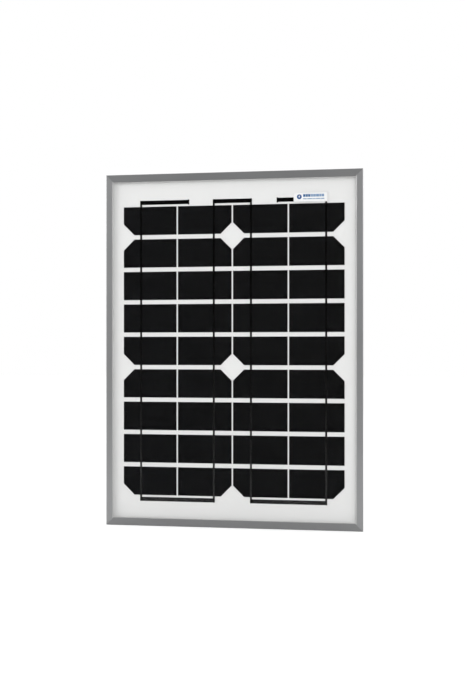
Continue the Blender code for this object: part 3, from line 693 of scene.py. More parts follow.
side_metal = drawn(
    "anodised_side", ANODISED, 0.34, (FINE, FINE, LONG), 0.002, (RIM_METAL, 0.35), metallic=1.0
)
# The end rails' finish takes the darker colour, a painted shade.
end_metal = drawn(
    "anodised_end_painted_shade", ANODISED_PAINTED_SHADE, 0.34, (LONG, FINE, FINE), 0.002, (RIM_METAL, 0.35), metallic=1.0
)
key_metal = drawn(
    "mill_aluminium", (0.62, 0.62, 0.64), 0.32, (FINE, LONG, FINE), 0.003,
    ((0.8, 0.8, 0.8), 0.5), metallic=1.0,
)
brass = drawn(
    "tumbled_brass", (0.73, 0.52, 0.22), 0.30, (2500.0, 2500.0, 400.0), 0.003,
    ((0.9, 0.72, 0.4), 0.6), metallic=1.0,
)
steel = drawn(
    "zinc_plated_steel", (0.62, 0.62, 0.60), 0.30, (900.0, 2500.0, 900.0), 0.002,
    ((0.85, 0.85, 0.85), 0.6), metallic=1.0,
)
print("metals: anodised, mill aluminium, brass, steel")

# %% [markdown]
# ### Plastics, rubber and film
#
# The junction box is moulded in black with a fine spark-eroded skin. Silicone and rubber are
# duller and softer. The backsheet is a white film with a faint tooth, and labels are smoother.

# %% Mix the soft finishes
box_plastic = grained(
    "black_moulding", (0.014, 0.014, 0.015), 0.42, 2600.0, 0.012, 0.12,
    worn=((0.06, 0.06, 0.06), 0.5), specular=0.45,
)
nut_plastic = grained(
    "black_nut", (0.017, 0.017, 0.018), 0.36, 1800.0, 0.008, 0.12,
    worn=((0.06, 0.06, 0.06), 0.6), specular=0.45,
)
rubber = grained("black_rubber", (0.02, 0.02, 0.02), 0.75, 1500.0, 0.010, 0.15, specular=0.3)
silicone = grained("grey_silicone", (0.62, 0.62, 0.615), 0.45, 700.0, 0.010, 0.05, specular=0.4)
glue = grained("white_adhesive", (0.70, 0.70, 0.69), 0.5, 500.0, 0.020, 0.06, specular=0.4)
sheet_film = grained("white_backsheet", (0.775, 0.775, 0.77), 0.55, 1400.0, 0.006, 0.02, specular=0.35)
white_film = grained("white_rear_film", (0.775, 0.775, 0.77), 0.55, 1400.0, 0.004, 0.02, specular=0.1)
label_film = grained("label_film", (0.81, 0.81, 0.81), 0.38, 900.0, 0.002, 0.01, specular=0.4)
epoxy = grained("diode_epoxy", (0.015, 0.015, 0.016), 0.30, 2000.0, 0.004, 0.10, specular=0.5)
print("soft finishes: moulding, nut, rubber, silicone, adhesive, backsheet, label, epoxy")

# %% [markdown]
# ### Glass and clear film
#
# Solar glass is low in iron and coated against glare, so it mirrors far less than window glass.
# A real refracting slab gives the slight sideways shift of what lies beneath. Lamps would have to
# find their way through it by luck, so rays that only test for shadow pass straight through.
# The front film melts into the glass and is left almost invisible. The rear film is pigmented
# white, as many makers choose, and throws light that missed a cell back towards the glass.

# %% Mix glass and film
glass, glass_tree, glass_shader = paint(
    "solar_glass", Transmission_Weight=1.0, IOR=1.5, Specular_Tint=(0.02, 0.02, 0.022, 1.0)
)
apply_effect(
    glass_tree, grain, glass_shader, (0.99, 0.993, 0.991), 0.03, 0.0,
    Scale=60.0, Color_Change=0.0, Roughness_Change=0.015,
)
clear = node(glass_tree, "BsdfTransparent", Color=(0.99, 0.99, 0.99, 1.0)).outputs[0]
ray = node(glass_tree, "LightPath").outputs
lit = node(glass_tree, "MixShader", _0=ray["Is Diffuse Ray"], _1=glass_shader.outputs[0], _2=clear)
pane = node(glass_tree, "MixShader", _0=ray["Is Shadow Ray"], _1=lit.outputs[0], _2=clear)
glass_tree.links.new(pane.outputs[0], glass_tree.nodes["Material Output"].inputs["Surface"])

film, film_tree, film_shader = paint("clear_film", specular=0.0, Alpha=0.015)
apply_effect(
    film_tree, grain, film_shader, (0.05, 0.05, 0.05), 0.5, 0.0, Scale=300.0, Color_Change=0.2
)
print("glass and film ready")

# %% [markdown]
# ### Cells and ribbons
#
# A cell of this kind is cut from one crystal and coated until it is almost black, with a breath
# of blue at a glance. Its ribbons are copper with a black coat, and metal still: the upper ones
# look black against the cells and the lower ones, which face the pale table, look grey. Lights
# alone could give that only by spoiling the rails' even tone. So a group paints that reflection
# into the colour: by height, it blends the black coat into a grey painted reflection of the table,
# and the shader adds the gloss.

# %% Mix cell and ribbon finishes
cell_coat, cell_tree, cell_shader = paint("coated_silicon", specular=0.03)
edge_on = node(cell_tree, "LayerWeight", Blend=0.35).outputs["Facing"]
tone = node(
    cell_tree, "Mix", {"data_type": "RGBA"},
    _0=edge_on, _6=(0.0030, 0.0030, 0.0032, 1.0), _7=(0.008, 0.010, 0.020, 1.0),
)
apply_effect(
    cell_tree, grain, cell_shader, tone.outputs[2], 0.42, 0.001, Scale=900.0, Color_Change=0.10
)
finger_silver = grained(
    "finger_paste", (0.016, 0.016, 0.017), 0.5, 3000.0, 0.002, 0.2, specular=0.1
)
# Painted reflection: this group turns the ribbons grey towards the foot, in place of their mirror image
# of the pale table.
painted_reflection_group, height_in, height_out = effect(
    "painted_reflection_by_height",
    [
        ("Painted Reflection Color", "Color", (0.05, 0.05, 0.05, 1.0)),
        ("Upper Color", "Color", (0.002, 0.002, 0.002, 1.0)),
        ("Lower End", "Float", 0.04),
        ("Upper End", "Float", 0.35),
    ],
    [("Color", "Color")],
)
spot = node(painted_reflection_group, "TexCoord").outputs["Object"]
share = node(
    painted_reflection_group, "MapRange", {"interpolation_type": "SMOOTHSTEP"},
    Value=node(painted_reflection_group, "SeparateXYZ", Vector=spot).outputs["Z"],
    From_Min=height_in["Lower End"], From_Max=height_in["Upper End"],
)
toned = node(
    painted_reflection_group, "Mix", {"data_type": "RGBA"},
    _0=share.outputs["Result"], _6=height_in["Painted Reflection Color"], _7=height_in["Upper Color"],
)
painted_reflection_group.links.new(toned.outputs[2], height_out["Color"])


def coated_ribbon(name, roughness, stretch, painted_reflection_tone):
    """Black-coated copper with drawn lines, and a grey painted reflection towards the panel's foot."""
    material, tree, shader = paint(name, metallic=1.0)
    box = tree.nodes.new("ShaderNodeGroup")
    box.node_tree = painted_reflection_group
    box.inputs["Painted Reflection Color"].default_value = (painted_reflection_tone, painted_reflection_tone, painted_reflection_tone, 1.0)
    apply_effect(
        tree, lines, shader, box.outputs["Color"], roughness, 0.004,
        Stretch=stretch, Color_Change=0.15,
    )
    return material


# The lower tone of 0.042 is a painted reflection of the pale table.
ribbon_coat = coated_ribbon("black_ribbon", 0.16, (3000.0, 3000.0, 120.0), 0.042)
bus_coat = coated_ribbon("black_bus", 0.20, (120.0, 3000.0, 3000.0), 0.042)
print("cells and ribbons ready")

# %% [markdown]
# ## The frame's rails
#
# Each rail is one extrusion, sawn at 45 degrees: a lip over the glass, a slot, a closed chamber
# for the corner key, and a flange behind. Its section is drawn once with the small radii that a
# die leaves, then carried along the rail. The ends lean back by as much as the section is deep,
# which is a mitre with no cutting at all.

# %% Draw the section
WALL = 1.5
LIP_THICK = 1.4
SLOT_BACK = -4.7
CHAMBER = (7.0, -3.4, 5.0)
SHELF_EDGE = 8.3
CHAMBER_CLOSE = 6.3
FLANGE_REACH = 20.0
FLANGE_THICK = 1.4
MITRE_GAP = 0.06


def rail_section(lip):
    """(outline, chamber) of a rail as distance in from the outer face, and depth."""
    outer = [
        (0, FRONT), (lip, FRONT), (lip, FRONT + LIP_THICK), (WALL, FRONT + LIP_THICK),
        (WALL, SLOT_BACK), (SHELF_EDGE, SLOT_BACK), (SHELF_EDGE, CHAMBER_CLOSE),
        (WALL, CHAMBER_CLOSE), (WALL, BACK - FLANGE_THICK), (FLANGE_REACH, BACK - FLANGE_THICK),
        (FLANGE_REACH, BACK), (0, BACK),
    ]
    radii = [0.45, 0.5, 0.3, 0.3, 0.3, 0.4, 0.5, 0.5, 0.6, 0.5, 0.5, 0.45]
    far, front, back = CHAMBER
    chamber = [(WALL, front), (far, front), (far, back), (WALL, back)]
    return [filleted(outer, radii, 3), filleted(chamber, 0.4, 2)]


SIDE_LIP = 8.5
END_LIP = 10.2
print("the side section has", len(rail_section(SIDE_LIP)[0]), "points")

# %% [markdown]
# The flanges are punched: two slots for bolts and an earth hole on a side rail, drain holes on an
# end rail. A punch leaves a slight burr, so each opening gets a small chamfer on the outside.

# %% Make the rails
SLOT_SIZE = (6.5, 10.0)
SLOT_INSET = 12.5
SLOT_RISE = 120.0
EARTH_HOLE = (2.1, 60.0)
DRAIN_HOLE = (2.0, 110.0)


def punch(outline):
    """A cutter through the flange that widens by a hair at the outer face."""
    flared = stepped_in(outline, -0.25) if area(outline) > 0 else stepped_in(outline[::-1], -0.25)
    through = solid([outline], BACK - FLANGE_THICK - 1, BACK + 1)
    mouth = solid([flared], BACK - 0.2, BACK + 1)
    return [through, mouth]


def rail(name, length, lip, turn, place, finish, openings):
    half = length / 2 - MITRE_GAP
    body = solid(rail_section(lip), -half, half, "XY", mitre=1.0)
    cutters = [mesh for outline in openings for mesh in punch(outline)]
    mesh = carved(body, cuts=cutters)
    mesh.transform(Matrix.Translation(Vector(place) * MM) @ Matrix.Rotation(turn, 4, "Y"))
    add_piece(name + "_extrusion", mesh, finish, replaces=[name])


slots = [
    rounded_rectangle(*SLOT_SIZE, SLOT_SIZE[0] / 2 - 0.01, (SLOT_INSET, rise))
    for rise in (-SLOT_RISE, SLOT_RISE)
]
earth = circle(EARTH_HOLE[0], (SLOT_INSET, EARTH_HOLE[1]), 32)
drains = [circle(DRAIN_HOLE[0], (SLOT_INSET, side * DRAIN_HOLE[1]), 32) for side in (-1, 1)]
mid = HEIGHT / 2
rail("side_rail_left", HEIGHT, SIDE_LIP, 0.0, (-WIDTH / 2, 0, mid), side_metal, slots + [earth])
rail("side_rail_right", HEIGHT, SIDE_LIP, math.pi, (WIDTH / 2, 0, mid), side_metal, slots)
rail("end_rail_bottom", WIDTH, END_LIP, -math.pi / 2, (0, 0, 0), end_metal, drains)
rail("end_rail_top", WIDTH, END_LIP, math.pi / 2, (0, 0, HEIGHT), end_metal, drains)
for corner in ("top_left", "top_right", "bottom_left", "bottom_right"):
    repaint("corner_key_" + corner, key_metal)
print("four rails and four keys")

# %% [markdown]
# ## Glass, films and backsheet
#
# These are plain sheets, and the engineering model's own solids are already the right shape.
# They keep their geometry and only take their finishes.

# %% Finish the sheets
repaint("front_glass", glass)
repaint("front_encapsulant", film)
repaint("rear_encapsulant", white_film)
repaint("backsheet", sheet_film)
print("glass, two films, backsheet")

# %% [markdown]
# ## Cells
#
# The maker cuts a round-cornered wafer into strips, two columns wide. So a cell keeps a cropped
# corner only where its strip held the wafer's own corner. A rule gives that from the row's number,
# and one function draws all 36 cells. Thin printed fingers cross each cell and gather its current.

# %% Lay out the cells
COLUMNS, ROWS = 4, 9
CELL_WIDTH, CELL_HEIGHT = 74.0, 38.6
ROW_PITCH = 44.5
TAB_SHARE = 0.17
STRIPS_PER_WAFER = 4
CELL_CROP = 15.0
CELL_FACE, CELL_REAR = -6.6, -6.4
FIRST_TOP = HEIGHT - 43.9
strings = [reach(f"cell_string_{column + 1}") for column in range(COLUMNS)]


def column_x(column):
    low, high = strings[column]
    return (low.x + high.x) / 2


def outer_side(column):
    """-1 or 1: the side of the column that was the wafer's own edge."""
    return -1 if column % 2 == 0 else 1


def tab_x(column):
    return column_x(column) + outer_side(column) * CELL_WIDTH * TAB_SHARE


def crops(row):
    """How much is cropped at a cell's top and bottom corner."""
    strip = (row - 1) % STRIPS_PER_WAFER
    return (CELL_CROP if strip == 0 and row else 0.0), (CELL_CROP if strip == 3 else 0.0)


def cell_outline(column, row):
    side = outer_side(column)
    plain = column_x(column) - side * CELL_WIDTH / 2
    edge = column_x(column) + side * CELL_WIDTH / 2
    top = FIRST_TOP - row * ROW_PITCH
    bottom = top - CELL_HEIGHT
    crop_top, crop_bottom = crops(row)
    points = [(plain, bottom), (plain, top), (edge - side * crop_top, top), (edge, top - crop_top)]
    points += [(edge, bottom + crop_bottom), (edge - side * crop_bottom, bottom)]
    return [p for i, p in enumerate(points) if math.dist(p, points[i - 1]) > 0.01]


print("columns at", [round(column_x(column), 2) for column in range(COLUMNS)])

# %% [markdown]
# A wafer is a thin plate, so each cell is an outline given a thickness and a hair of rounding.
# The fingers are silver paste, printed as level lines a tenth of a millimetre wide. A texture
# could draw them, but real bars catch light at their true height and stop where the crop does.

# %% Make the cells and their fingers
FINGER_PITCH = 1.9
FINGER_WIDTH = 0.11
FINGER_RISE = 0.015
BORDER = 1.1


def finger_mesh(column, row):
    """Level lines across a cell, each as long as the cell is at its height."""
    side = outer_side(column)
    centre = column_x(column)
    top = FIRST_TOP - row * ROW_PITCH
    crop_top, crop_bottom = crops(row)
    count = int((CELL_HEIGHT - 2 * BORDER) / FINGER_PITCH)
    first = (CELL_HEIGHT - (count - 1) * FINGER_PITCH) / 2
    bars = []
    for i in range(count):
        drop = first + i * FINGER_PITCH
        cut = max(0.0, crop_top - drop, crop_bottom - (CELL_HEIGHT - drop))
        near = centre - side * (CELL_WIDTH / 2 - BORDER)
        far = centre + side * (CELL_WIDTH / 2 - BORDER - cut)
        low_x, high_x = min(near, far), max(near, far)
        z = top - drop
        low = (low_x, CELL_FACE - FINGER_RISE, z - FINGER_WIDTH / 2)
        bars.append(block(low, (high_x, CELL_FACE + 0.01, z + FINGER_WIDTH / 2)))
    return joined(bars)


for column in range(COLUMNS):
    for row in range(ROWS):
        name = f"cell_{column + 1}_{row + 1}"
        wafer = solid([cell_outline(column, row)], CELL_FACE, CELL_REAR, edge=0.04)
        stands_for = [f"cell_string_{column + 1}"] if row == 0 else ()
        add_piece(name, wafer, cell_coat, replaces=stands_for)
        add_piece(name + "_fingers", finger_mesh(column, row), finger_silver)
print(COLUMNS * ROWS, "cells with their fingers")

# %% [markdown]
# ## Tab ribbons
#
# A tab lies on one cell's face, dips through the gap and goes behind the next, which joins the
# cells in series. Neighbouring columns run in opposite directions. Each tab is a band with rounded
# edges swept along its route. Soldering leaves it a little wavy, so the route carries a small ripple.


# %% Sweep a band along a route
def smooth_route(points, spacing=1.5):
    """Points close together along the straight runs between the given points."""
    route = []
    for a, b in zip(points, points[1:]):
        a, b = Vector(a), Vector(b)
        count = max(2, int((b - a).length / spacing))
        route += [a.lerp(b, i / count) for i in range(count)]
    route.append(Vector(points[-1]))
    return route


def band(route, width, thick, across, ripple=0.0):
    """A flat ribbon along 3-D points; across is the direction of its width."""
    across = Vector(across)
    half, edge = width / 2, thick / 2
    section = []
    for side in (1, -1):
        for k in range(5):
            angle = side * (math.pi / 2 - math.pi * k / 4)
            out_by = half - edge + edge * abs(math.cos(angle))
            section.append((side * out_by, edge * math.sin(angle)))
    shape = bmesh.new()
    rings = []
    for i, spot_here in enumerate(route):
        before, after = route[max(0, i - 1)], route[min(len(route) - 1, i + 1)]
        tangent = (after - before).normalized()
        out = tangent.cross(across).normalized()
        wave = ripple * (math.sin(i * 1.7) + 0.6 * math.sin(i * 0.53 + 1.0))
        rings.append([
            shape.verts.new((spot_here + across * a + out * (b + wave)) * MM) for a, b in section
        ])
    for near, far in zip(rings, rings[1:]):
        for k in range(len(section)):
            m = (k + 1) % len(section)
            shape.faces.new((near[k], near[m], far[m], far[k]))
    shape.faces.new(rings[0][::-1])
    shape.faces.new(rings[-1])
    return close_mesh(shape)


print("a band has ten points round its edge")

# %% [markdown]
# A route is a list of heights and depths for one column. The columns that run upwards reuse the
# same rule turned over, which is how the stringing machine sees them too. The first and last tabs
# run on to the cross ribbons above and below the cells.

# %% Route and make the tabs
TAB_WIDTH, TAB_THICK = 2.7, 0.19
TAB_FACE_Y, TAB_REAR_Y = -6.65, -6.34
TAB_STOP, TAB_BEND = 0.5, 1.2
RIPPLE = 0.006
BUS_WIDTH, BUS_THICK, BUS_CLEAR = 5.6, 0.18, 2.8
BUS_Y = -6.43
top_bus_z = FIRST_TOP + BUS_CLEAR + BUS_WIDTH / 2
last_bottom = FIRST_TOP - (ROWS - 1) * ROW_PITCH - CELL_HEIGHT
bottom_bus_z = last_bottom - BUS_CLEAR - BUS_WIDTH / 2


def tab_routes(rising):
    """Routes as (height, depth): each tab is on one cell's face and behind the next."""
    tops = [FIRST_TOP - row * ROW_PITCH for row in range(ROWS)]
    bottoms = [top - CELL_HEIGHT for top in tops]
    start, stop = top_bus_z + BUS_WIDTH / 2, bottom_bus_z - BUS_WIDTH / 2
    if rising:
        tops, bottoms = [-z for z in reversed(bottoms)], [-z for z in reversed(tops)]
        start, stop = -stop, -start
    face = [(start, TAB_FACE_Y), (tops[0] + BUS_CLEAR - TAB_BEND, TAB_FACE_Y)]
    routes = []
    for top, bottom in zip(tops, bottoms):
        routes.append(face + [(top + TAB_BEND, TAB_REAR_Y), (bottom + TAB_STOP, TAB_REAR_Y)])
        face = [(top - TAB_STOP, TAB_FACE_Y), (bottom - TAB_BEND, TAB_FACE_Y)]
    routes.append([face[0], (stop, TAB_FACE_Y)])
    sign = -1 if rising else 1
    return [[(sign * z, y) for z, y in route] for route in routes]


for column in range(COLUMNS):
    x = tab_x(column)
    for index, route in enumerate(tab_routes(column % 2 == 1)):
        points = smooth_route([(x, y, z) for z, y in route])
        mesh = band(points, TAB_WIDTH, TAB_THICK, (1, 0, 0), RIPPLE)
        add_piece(f"tab_{column + 1}_{index}", mesh, ribbon_coat)
print(COLUMNS * (ROWS + 1), "tabs at x =", [round(tab_x(column), 1) for column in range(COLUMNS)])

# %% [markdown]
# ## Cross ribbons and lead-outs
#
# Wider ribbons join the columns' ends. The two at the top's outer ends turn back through slits in
# the sheet and lie on the terminals. A bend in real ribbon has a radius, so the lead-outs' routes
# turn through small arcs. A flat pool of solder marks each place where a tab meets a cross ribbon.

# %% Make the cross ribbons
TURN_RADIUS = 0.9
TURN_AT = 60.8


def arc(centre, start, end, radius, steps=5):
    """Points of an arc in the X-Y plane at the top bus's height, from one angle to another."""
    angles = [math.radians(start + (end - start) * k / steps) for k in range(steps + 1)]
    return [
        Vector((centre[0] + radius * math.cos(t), centre[1] + radius * math.sin(t), top_bus_z))
        for t in angles
    ]


def cross_ribbon(name, first, last, z):
    ends = (tab_x(first) - TAB_WIDTH / 2, tab_x(last) + TAB_WIDTH / 2)
    points = smooth_route([(ends[0], BUS_Y, z), (ends[1], BUS_Y, z)], 2.0)
    mesh = band(points, BUS_WIDTH, BUS_THICK, (0, 0, 1), RIPPLE)
    add_piece(name + "_ribbon", mesh, bus_coat, replaces=[name])


def lead_out(name, column):
    """A cross ribbon that turns back to its terminal plate."""
    side = -1 if column == 0 else 1
    low, high = reach(name)
    rest = high.y - 0.1
    turn_x = side * TURN_AT
    start = tab_x(column) + side * TAB_WIDTH / 2
    tip = high.x if side < 0 else low.x
    radius = TURN_RADIUS
    run_end = (turn_x + side * radius, BUS_Y, top_bus_z)
    run = smooth_route([(start, BUS_Y, top_bus_z), run_end], 2.0)
    if side > 0:
        rise = arc((turn_x + radius, BUS_Y + radius), 270, 180, radius)
        fold = arc((turn_x - radius, rest - radius), 0, 90, radius)
    else:
        rise = arc((turn_x - radius, BUS_Y + radius), -90, 0, radius)
        fold = arc((turn_x + radius, rest - radius), 180, 90, radius)
    points = run[:-1] + rise + fold + [Vector((tip, rest, top_bus_z))]
    mesh = band(points, BUS_WIDTH, BUS_THICK, (0, 0, 1))
    add_piece(name + "_ribbon", mesh, bus_coat, replaces=[name])


cross_ribbon("bus_top_middle", 1, 2, top_bus_z)
cross_ribbon("bus_bottom_left", 0, 1, bottom_bus_z)
cross_ribbon("bus_bottom_right", 2, 3, bottom_bus_z)
lead_out("lead_out_positive", 0)
lead_out("lead_out_negative", 3)
print("three cross ribbons, two lead-outs")

# %% [markdown]
# Each joint is a drop of solder that wetted both ribbons and set. A sphere flattened to a low pool
# has the right soft outline, and one function places all eight at the ends of the columns.

# %% Solder the tabs to the cross ribbons
SOLDER_SIZE = (1.5, 0.10, 2.1)


def solder_pool(x, z):
    """A low round-edged pool that fits between a tab's face and the film."""
    shape = bmesh.new()
    bmesh.ops.create_uvsphere(shape, u_segments=20, v_segments=10, radius=1.0)
    bmesh.ops.scale(shape, vec=SOLDER_SIZE, verts=shape.verts)
    bmesh.ops.translate(shape, vec=(x, TAB_FACE_Y - TAB_THICK / 2, z), verts=shape.verts)
    bmesh.ops.scale(shape, vec=(MM, MM, MM), verts=shape.verts)
    return close_mesh(shape)


for column in range(COLUMNS):
    for end, z in (("top", top_bus_z), ("bottom", bottom_bus_z)):
        add_piece(f"solder_{end}_{column + 1}", solder_pool(tab_x(column), z), ribbon_coat)
print(2 * COLUMNS, "solder pools")

# %% [markdown]
# ## The silicone edge seal
#
# The laminate sits in a channel of grey silicone, which is pumped into the frame's slot. What
# squeezes out beside the lip is wiped to a sloping bead, and that bead is the pale line just
# inside the frame. Its section is rounded and carried round all four sides.


# %% Carry the seal's section round the panel
SIDE_BEAD, END_BEAD = 0.9, 0.7
BEAD_RISE = 0.6
SEAL_FLOOR, LAMINATE_EDGE, SEAL_FOOT = 1.8, 2.95, 7.3


def seal_section(lip, bead):
    """The channel's closed section on one side, as distance in from the frame and depth."""
    lip_back, glass_face, sheet_back, shelf = -11.05, -10.55, -5.27, -4.75
    points = [
        (SEAL_FLOOR, lip_back), (lip + 0.05, lip_back), (lip + 0.05, lip_back - BEAD_RISE),
        (lip + bead, glass_face - 0.1), (lip + bead, glass_face), (LAMINATE_EDGE, glass_face),
        (LAMINATE_EDGE, sheet_back), (SEAL_FOOT, sheet_back), (SEAL_FOOT, shelf), (SEAL_FLOOR, shelf),
    ]
    return filleted(points, [0.1, 0, 0.22, 0.04, 0, 0.1, 0.1, 0.1, 0.2, 0.3], 3)


def picture_frame(side_section, end_section):
    shape = bmesh.new()
    rings = []
    for sx, top in ((-1, 0), (1, 0), (1, 1), (-1, 1)):
        ring = []
        for (side, y), (end, end_y) in zip(side_section, end_section):
            z = HEIGHT - end if top else end
            ring.append(shape.verts.new(Vector((sx * (WIDTH / 2 - side), (y + end_y) / 2, z)) * MM))
        rings.append(ring)
    for i, near in enumerate(rings):
        far = rings[(i + 1) % 4]
        for k in range(len(near)):
            m = (k + 1) % len(near)
            shape.faces.new((near[k], near[m], far[m], far[k]))
    return close_mesh(shape)


side_bead, end_bead = seal_section(SIDE_LIP, SIDE_BEAD), seal_section(END_LIP, END_BEAD)
bead_mesh = picture_frame(side_bead, end_bead)
add_piece("silicone_channel", bead_mesh, silicone, replaces=["edge_seal"])
print("the seal's section has", len(side_bead), "points")

# %% [markdown]
# ## Labels
#
# The small front label is printed film under the glass, with a round mark and a line of words on
# the real panel. The mark here is a plain spark in a disc, and bars stand in for the words. The
# rating label behind gets the same treatment: a heading and a table of bars. Ink is a thin layer
# of its own, so it can be changed without touching the film.


# %% Inks and shapes for print
def ink(name, colour):
    return grained(name, colour, 0.45, 1200.0, 0.0, 0.04, specular=0.3)


navy_ink = ink("navy_ink", (0.015, 0.10, 0.26))
sky_ink = ink("sky_ink", (0.15, 0.26, 0.43))
mark_ink = ink("mark_ink", (0.002, 0.065, 0.23))
grey_ink = ink("grey_ink", (0.42, 0.43, 0.44))
black_ink = ink("black_ink", (0.03, 0.03, 0.03))
SPARK = [(0.1, 1.0), (-0.62, -0.12), (-0.1, -0.12), (-0.3, -1.0), (0.62, 0.2), (0.08, 0.2), (0.42, 1.0)]
INK = 0.02


def bar(left, bottom, width, height, layer, round_off=0.15):
    """One printed bar with softened corners, at a depth of layer."""
    centre = (left + width / 2, bottom + height / 2)
    outline = rounded_rectangle(width, height, min(round_off, height / 2.1), centre, 2)
    return solid([outline], layer - INK, layer)


def bar_word(left, bottom, height, widths, gap, layer):
    """A row of bars as wide as letters, and where the row ends."""
    bars = []
    for width in widths:
        bars.append(bar(left, bottom, width, height, layer))
        left += width + gap
    return bars, left


print("five inks")

# %% [markdown]
# The film is a rounded plate, and each ink lies on its face as a separate piece: the mark's disc
# with the spark left open, two groups of bars as tall as capitals, a line of small bars below, and
# a fine border.

# %% Print the front label
label_low, label_high = reach("front_label")
label_mid = (label_low + label_high) / 2
label_size = label_high - label_low
front_outline = rounded_rectangle(label_size.x, label_size.z, 0.8, (label_mid.x, label_mid.z))
film_mesh = solid([front_outline], label_low.y, label_high.y, edge=0.02)
add_piece("front_label_film", film_mesh, label_film, replaces=["front_label"])

face = label_low.y
DISC_RADIUS = 3.2
SPARK_SIZE = 2.0
WORDS_START = label_low.x + 12.8
CAPITAL, SMALL_LETTER = 3.6, 1.2
disc_at = (label_low.x + 7.6, label_mid.z + 0.5)
spark = [(disc_at[0] + SPARK_SIZE * a, disc_at[1] + SPARK_SIZE * b) for a, b in SPARK]
disc = solid([circle(DISC_RADIUS, disc_at), spark], face - INK, face)
add_piece("front_label_mark", disc, mark_ink)

words_foot = label_mid.z + 0.3
first, after = bar_word(WORDS_START, words_foot, CAPITAL, (2.9, 2.8, 2.9), 0.5, face)
second, after = bar_word(after + 0.3, words_foot, CAPITAL, (2.7, 3.0, 3.8, 2.7, 2.8), 0.6, face)
add_piece("front_label_word_1", joined(first), navy_ink)
add_piece("front_label_word_2", joined(second), sky_ink)
words = (4.6, 6.8, 3.2, 5.4, 4.6)
small, after = bar_word(WORDS_START, label_mid.z - 2.9, SMALL_LETTER, words, 0.9, face)
add_piece("front_label_line", joined(small), sky_ink)
border = [
    rounded_rectangle(label_size.x - k, label_size.z - k, 0.8 - k / 4, (label_mid.x, label_mid.z))
    for k in (0.5, 0.9)
]
add_piece("front_label_border", solid(border, face - INK, face), grey_ink)
print("front label", round(label_size.x, 1), "by", round(label_size.z, 1), "mm")

# %% [markdown]
# The rating label is read from behind, so its ink lies on the other face and its layout runs the
# other way. A loop lays out the rows: a name, a value and a rule for each.

# %% Print the rating label
rating_low, rating_high = reach("rating_label")
rating_mid = (rating_low + rating_high) / 2
rating_size = rating_high - rating_low
outline = rounded_rectangle(rating_size.x, rating_size.z, 3.0, (rating_mid.x, rating_mid.z))
film_mesh = solid([outline], rating_low.y, rating_high.y, edge=0.03)
add_piece("rating_label_film", film_mesh, label_film, replaces=["rating_label"])

back_ink = rating_high.y + INK
heading = [bar(rating_low.x + 8, rating_high.z - 13, 62, 6, back_ink, 1.0)]
heading.append(bar(rating_low.x + 8, rating_high.z - 17.5, 40, 2, back_ink, 0.5))
add_piece("rating_label_heading", joined(heading), navy_ink)
edge_line = [
    rounded_rectangle(rating_size.x - k, rating_size.z - k, 3.0 - k / 2, (rating_mid.x, rating_mid.z))
    for k in (3.0, 3.8)
]
add_piece("rating_label_border", solid(edge_line, back_ink - INK, back_ink), grey_ink)
TABLE_ROWS, TABLE_PITCH, TABLE_DROP = 7, 5.6, 25
table = []
for row in range(TABLE_ROWS):
    level = rating_high.z - TABLE_DROP - row * TABLE_PITCH
    table.append(bar(rating_low.x + 8, level, 34 - 3 * (row % 3), 2.0, back_ink))
    table.append(bar(rating_high.x - 34, level, 16 + 4 * ((row * 2) % 3), 2.0, back_ink))
    table.append(bar(rating_low.x + 6, level - 1.9, rating_size.x - 12, 0.25, back_ink, 0.1))
add_piece("rating_label_table", joined(table), black_ink)
print("rating label with", TABLE_ROWS, "rows")

# %% [markdown]
# ## The junction box
#
# A shallow black moulding is glued over the slits where the ribbons come through. Its walls,
# bosses and hinge knuckles are one shot of plastic, so they are joined into one skin. Edges are
# rounded as a mould leaves them. The marks beside the terminals are raised, as on real boxes.

# %% Measure the box
base_low, _ = reach("junction_box_base")
BOX_WIDTH, BOX_BOTTOM, BOX_TOP = 136.0, base_low.z, 450.0
BOX_HEIGHT = BOX_TOP - BOX_BOTTOM
BOX_FOOT, BOX_FLOOR, BOX_RIM = base_low.y, base_low.y + 1.6, 8.8
BOX_WALL = 2.0
LID_UNDER, LID_TOP = 9.7, 11.4
HINGE = (9.2, 453.4)
KNUCKLE_RADIUS, KNUCKLE_LENGTH, KNUCKLE_PITCH = 2.5, 15.0, 15.4
SCREW_AT = (58.0, 397.0)
GLAND_AT = (34.0, 2.7)
WINDOW_SIZE = (9.0, 11.0)
SIDES = (("left", -1), ("right", 1))
POLES = (("positive", -1), ("negative", 1))


def box_outline(inset):
    centre = (0, (BOX_TOP + BOX_BOTTOM) / 2)
    return rounded_rectangle(BOX_WIDTH - 2 * inset, BOX_HEIGHT - 2 * inset, 5.0 - inset, centre, 8)


def knuckle(index):
    """A knuckle's barrel, and how far along the hinge it reaches."""
    middle = (index - 2) * KNUCKLE_PITCH
    ends = (middle - KNUCKLE_LENGTH / 2, middle + KNUCKLE_LENGTH / 2)
    barrel = solid([circle(KNUCKLE_RADIUS, HINGE)], *ends, "YZ", edge=0.3)
    return barrel, ends


def pin_bore():
    return solid([circle(1.3, HINGE, 24)], -50, 50, "YZ")


print("box", BOX_WIDTH, "by", round(BOX_HEIGHT, 1), "mm")

# %% [markdown]
# The base starts as a rounded block that is hollowed from its open side. Screw bosses with ribs,
# raised plus and minus marks, grip ribs on the flanks and three knuckles are joined on. Screw
# bores, gland holes, ribbon windows and the pin's bore are cut last, so they pass through all.

